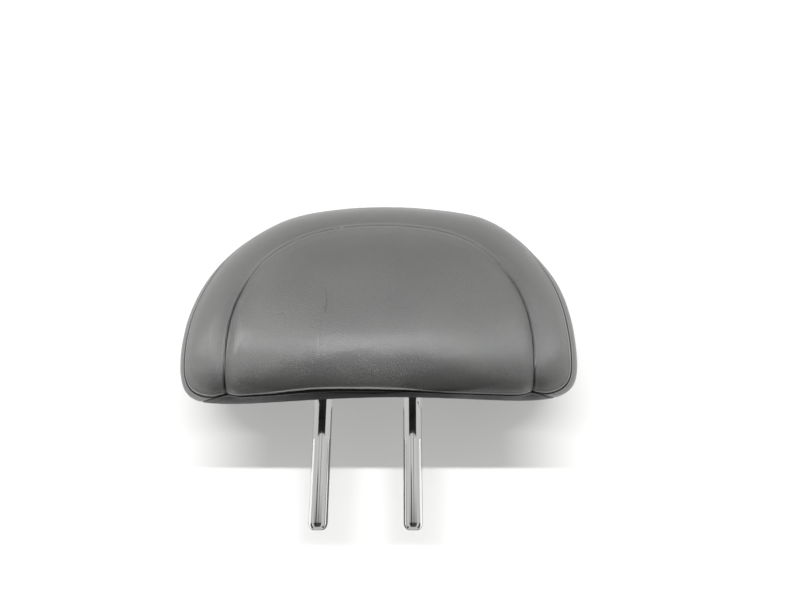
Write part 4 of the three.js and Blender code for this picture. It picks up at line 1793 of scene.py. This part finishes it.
@dataclass
class Studio:
    """The floor, backdrop, lights and camera.

    A glint is given by its turn and lift in degrees, its width and its power. A dark band of the room is
    given by its turn, its half width and its depth.
    """

    camera_place: tuple[float, float, float] = (0.0233, -0.4343, 0.006)
    camera_lift: float = math.radians(20.2)
    lens: float = 27.0
    sensor: float = 36.0
    aim: float = 0.12
    floor_height: float = -0.055
    wall_y: float = 0.0395
    reach: float = 4.0
    key_distance: float = 2.4
    key_lift: float = math.radians(12.5)
    key_size: tuple[float, float] = (2.8, 0.09)
    key_power: float = 95.0
    key_side: float = -0.1
    glints: tuple[tuple[float, float, float, float], ...] = (
        (0, -3.55, 4.2, 150),
        (-66, 12, 1.8, 42),
        (66, 12, 1.8, 29),
    )
    glint_height: float = 0.05
    rear_place: tuple[float, float, float] = (0.5, 1.9, 1.2)
    rear_size: tuple[float, float] = (1.6, 1.0)
    rear_power: float = 18.0
    sky: tuple[float, float, float, float] = (-0.45, 0.5, 0.09, 1.0)
    sky_tone: Colour = (1, 1, 0.995, 1)
    sky_seen: float = 0.96
    mirrored_sky: tuple[float, float, float, float] = (-0.14, 0.02, 0.08, 0.68)
    dark_bands: tuple[tuple[float, float, float], ...] = (
        (-62, 6, 0.7),
        (9, 5, 0.65),
        (-24, 9, 0.25),
        (70, 6, 0.4),
    )
    band_core: float = 0.4
    low_dark: tuple[float, float] = (-20, 8)
    low_dark_core: float = 0.6
    low_dark_top: tuple[float, float] = (0.015, 0.045)
    low_dark_depth: float = 0.8
    glint_lights: list[bpy.types.Object] = field(default_factory=list)

    def camera(self) -> None:
        """Places the camera as the photograph was taken."""
        data = bpy.data.cameras.new("camera")
        data.lens = self.lens
        data.sensor_width = self.sensor
        camera = bpy.data.objects.new("camera", data)
        camera.location = self.camera_place
        camera.rotation_euler = (math.pi / 2 + self.camera_lift, 0, 0)
        bpy.context.scene.collection.objects.link(camera)
        bpy.context.scene.camera = camera

    def sheet(self, name: str, matrix: Matrix, paper: PaperFinish) -> bpy.types.Object:
        """Lays out a large flat sheet of paper.

        Args:
            name: the sheet's name.
            matrix: its place.
            paper: its finish.

        Returns:
            The sheet.
        """
        bm = bmesh.new()
        bmesh.ops.create_grid(bm, x_segments=1, y_segments=1, size=self.reach, matrix=matrix)
        sheet = piece_from(name, mesh_from(name, bm))
        dressed(sheet, paper.material())
        return sheet

    def area(self, name: str, place: Vector, size: tuple[float, float], power: float) -> bpy.types.Object:
        """Adds a rectangular light that faces the pad.

        Args:
            name: the light's name.
            place: where it hangs.
            size: its width and height.
            power: its power in watts.

        Returns:
            The light.
        """
        data = bpy.data.lights.new(name, "AREA")
        data.shape = "RECTANGLE"
        data.size, data.size_y = size
        data.energy = power
        light = bpy.data.objects.new(name, data)
        light.location = place
        light.rotation_euler = (Vector((0, 0, self.aim)) - place).to_track_quat("-Z", "Y").to_euler()
        bpy.context.scene.collection.objects.link(light)
        return light

    def around(self, turn: float, lift: float) -> Vector:
        """Gives a place in front of the pad, turned to the side and lifted.

        Args:
            turn: its turn to the right.
            lift: its lift over the pad's middle.

        Returns:
            The place.
        """
        far = self.key_distance * math.cos(lift)
        up = self.aim + self.key_distance * math.sin(lift)
        return Vector((far * math.sin(turn), -far * math.cos(turn), up))

    def room(self) -> None:
        """Sets the light of the room: bright above, dim below, with dark bands in the chrome's mirror."""
        world = bpy.data.worlds.new("room")
        bpy.context.scene.world = world
        world.use_nodes = True
        tree = Tree(world.node_tree)
        way = tree.add("SeparateXYZ", in_Vector=tree.add("TexCoord").outputs["Generated"])
        ahead = tree.math("MULTIPLY", way.outputs["Y"], -1.0)
        turn = tree.math("DEGREES", tree.math("ARCTAN2", way.outputs["X"], ahead))
        mirrored = tree.ease(way.outputs["Z"], *self.mirrored_sky)
        for middle, half, depth in self.dark_bands:
            away = tree.math("ABSOLUTE", tree.math("SUBTRACT", turn, middle))
            band = tree.ease(away, half * self.band_core, half, 1 - depth, 1.0)
            mirrored = tree.math("MULTIPLY", mirrored, band)
        middle, half = self.low_dark
        away = tree.math("ABSOLUTE", tree.math("SUBTRACT", turn, middle))
        beside = tree.ease(away, half * self.low_dark_core, half, 0.0, 1.0)
        above = tree.ease(way.outputs["Z"], *self.low_dark_top)
        clear = tree.math("MAXIMUM", beside, above)
        lightness = tree.math("MULTIPLY_ADD", clear, self.low_dark_depth, 1 - self.low_dark_depth)
        mirrored = tree.math("MULTIPLY", mirrored, lightness)
        rays = tree.add("LightPath")
        sky = tree.ease(way.outputs["Z"], *self.sky)
        lit = tree.blend(rays.outputs["Is Glossy Ray"], sky, mirrored, kind="FLOAT")
        strength = tree.blend(rays.outputs["Is Camera Ray"], lit, self.sky_seen, kind="FLOAT")
        back = world.node_tree.nodes["Background"]
        back.inputs["Color"].default_value = self.sky_tone
        tree.feed(back.inputs["Strength"], strength)

    def glint_on(self, pieces: Sequence[bpy.types.Object]) -> None:
        """Lets only these pieces catch the glints.

        Args:
            pieces: the pieces.
        """
        shown = bpy.data.collections.new("glinting")
        for piece in pieces:
            shown.objects.link(piece)
        for light in self.glint_lights:
            light.light_linking.receiver_collection = shown

    def build(self) -> None:
        """Sets up the stage."""
        self.camera()
        self.room()
        low = Matrix.Translation((0, 0, self.floor_height))
        floor = self.sheet("floor", low, PaperFinish("floor_paper"))
        floor.visible_diffuse = False
        floor.visible_glossy = False
        behind = Matrix.Translation((0, self.wall_y, self.floor_height + self.reach))
        upright = behind @ Matrix.Rotation(math.pi / 2, 4, "X")
        self.sheet("backdrop", upright, PaperFinish("backdrop_paper", see_through=True))
        key_place = self.around(0, self.key_lift) + Vector((self.key_side, 0, 0))
        key = self.area("key", key_place, self.key_size, self.key_power)
        key.visible_glossy = False
        for number, (turn, lift, width, power) in enumerate(self.glints):
            place = self.around(math.radians(turn), math.radians(lift))
            glint = self.area(f"glint_{number}", place, (width, self.glint_height), power)
            glint.visible_diffuse = False
            self.glint_lights.append(glint)
        self.area("rear", Vector(self.rear_place), self.rear_size, self.rear_power)
        for card in (*CARDS, FLAG):
            card.build()
        bpy.context.scene.view_settings.view_transform = "Standard"


# Near-black tint of the crease marks: painted shade of creases in the leather.
CREASE_SHADE_TONE: Colour = (0.02, 0.02, 0.02, 1)
PALE_SCRATCH: Colour = (0.3, 0.3, 0.3, 1)
GREY_LEATHER = LeatherFinish("grey_leather_plain", (0.083, 0.084, 0.081, 1), (0.071, 0.072, 0.070, 1))
WORN_AND_CREASE_SHADED_LEATHER = LeatherFinish(
    "grey_leather_worn_and_crease_shaded",
    GREY_LEATHER.light,
    GREY_LEATHER.dark,
    marks=(
        # The near-black marks are painted shade of creases; the pale ones are worn scratches.
        WearAndShadeMark((-23.5, 144.3), (-22.4, 135.7), 0.7, CREASE_SHADE_TONE, 0.35),
        WearAndShadeMark((-22.4, 135.7), (-22.9, 126.8), 1.0, CREASE_SHADE_TONE, 0.6),
        WearAndShadeMark((-26.8, 111.9), (-26.2, 99.8), 0.9, PALE_SCRATCH, 0.09),
        WearAndShadeMark((-24.8, 126.0), (-25.6, 106.0), 0.8, CREASE_SHADE_TONE, 0.14),
        WearAndShadeMark((-82.3, 141.8), (-78.8, 138.9), 0.8, PALE_SCRATCH, 0.22),
        WearAndShadeMark((101.4, 153.4), (102.6, 151.2), 0.8, PALE_SCRATCH, 0.3),
    ),
)
# Far darker than the grey leather: partly its own darker leather, partly painted shade of the
# downward-facing underside.
UNDER_LEATHER = LeatherFinish(
    "underside_leather_plain", (0.026, 0.026, 0.025, 1), (0.018, 0.018, 0.018, 1), roughness=(0.5, 0.62)
)
CHROME = ChromeFinish(
    "chrome_plate",
    marks=(
        WearAndShadeMark((36.3, 85.6), (36.5, 85.1), 0.8, (0.03, 0.03, 0.03, 1), 0.9),
        WearAndShadeMark((36.6, 84.6), (38.4, 80.0), 0.35, (0.1, 0.09, 0.09, 1), 0.6),
    ),
)
BLACK_PLASTIC = PlainFinish(
    "black_plastic_moulded",
    light=(0.022, 0.022, 0.024, 1),
    dark=(0.012, 0.012, 0.013, 1),
    roughness=(0.45, 0.62),
    grain_depth=0.03 * MM,
)
FOAM = PlainFinish(
    "foam_cells",
    light=(0.62, 0.55, 0.36, 1),
    dark=(0.5, 0.43, 0.27, 1),
    roughness=(0.85, 0.98),
    grain_depth=0.3 * MM,
    fine=1500.0,
)
ZINC = PlainFinish(
    "zinc_plate",
    light=(0.6, 0.58, 0.5, 1),
    dark=(0.46, 0.45, 0.4, 1),
    roughness=(0.25, 0.4),
    grain_depth=0.01 * MM,
    fine=1200.0,
    metallic=1.0,
)


def dress_nodes(effects: SharedEffects) -> None:
    """Gives the carrier, its screws, the collars and the closure strips their finishes.

    Args:
        effects: the shared groups.
    """
    plastic = BLACK_PLASTIC.material(effects)
    zinc = ZINC.material(effects)
    for name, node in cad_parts.items():
        if name.startswith("carrier_screw"):
            dressed(node, zinc)
        elif name.startswith(("carrier", "post_collar", "closure")):
            dressed(node, plastic)


def main() -> None:
    """Builds the headrest and reports its pieces."""
    logging.basicConfig(level=logging.INFO, format="%(name)s: %(message)s")
    form = PadForm()
    effects = SharedEffects()
    studio = Studio()
    studio.build()
    cover = LeatherCover(form, CentreLine(), SeamForm())
    fill = CushionFill()
    cover.swell = fill.swell(form, cover.seams)
    foam = fill.foam(form, cover.swell)
    dressed(foam, FOAM.material(effects))
    # The centre panel's leather carries the painted crease shades besides its worn scratches.
    worn, grey, under = (finish.material(effects) for finish in (WORN_AND_CREASE_SHADED_LEATHER, GREY_LEATHER, UNDER_LEATHER))
    finishes = {"centre_panel": worn, "underside_front": under, "underside_rear": under}
    panels = cover.build()
    studio.glint_on([panels["centre_panel"], panels["border_panel"]])
    for name, piece in panels.items():
        dressed(piece, finishes.get(name, grey))
        LOG.info("%s: %d faces", name, len(piece.data.polygons))
    bar = PostFrame().build()
    dressed(bar, CHROME.material(effects))
    LOG.info("%s: %d faces", bar.name, len(bar.data.polygons))
    dress_nodes(effects)


if __name__ == "__main__":
    main()
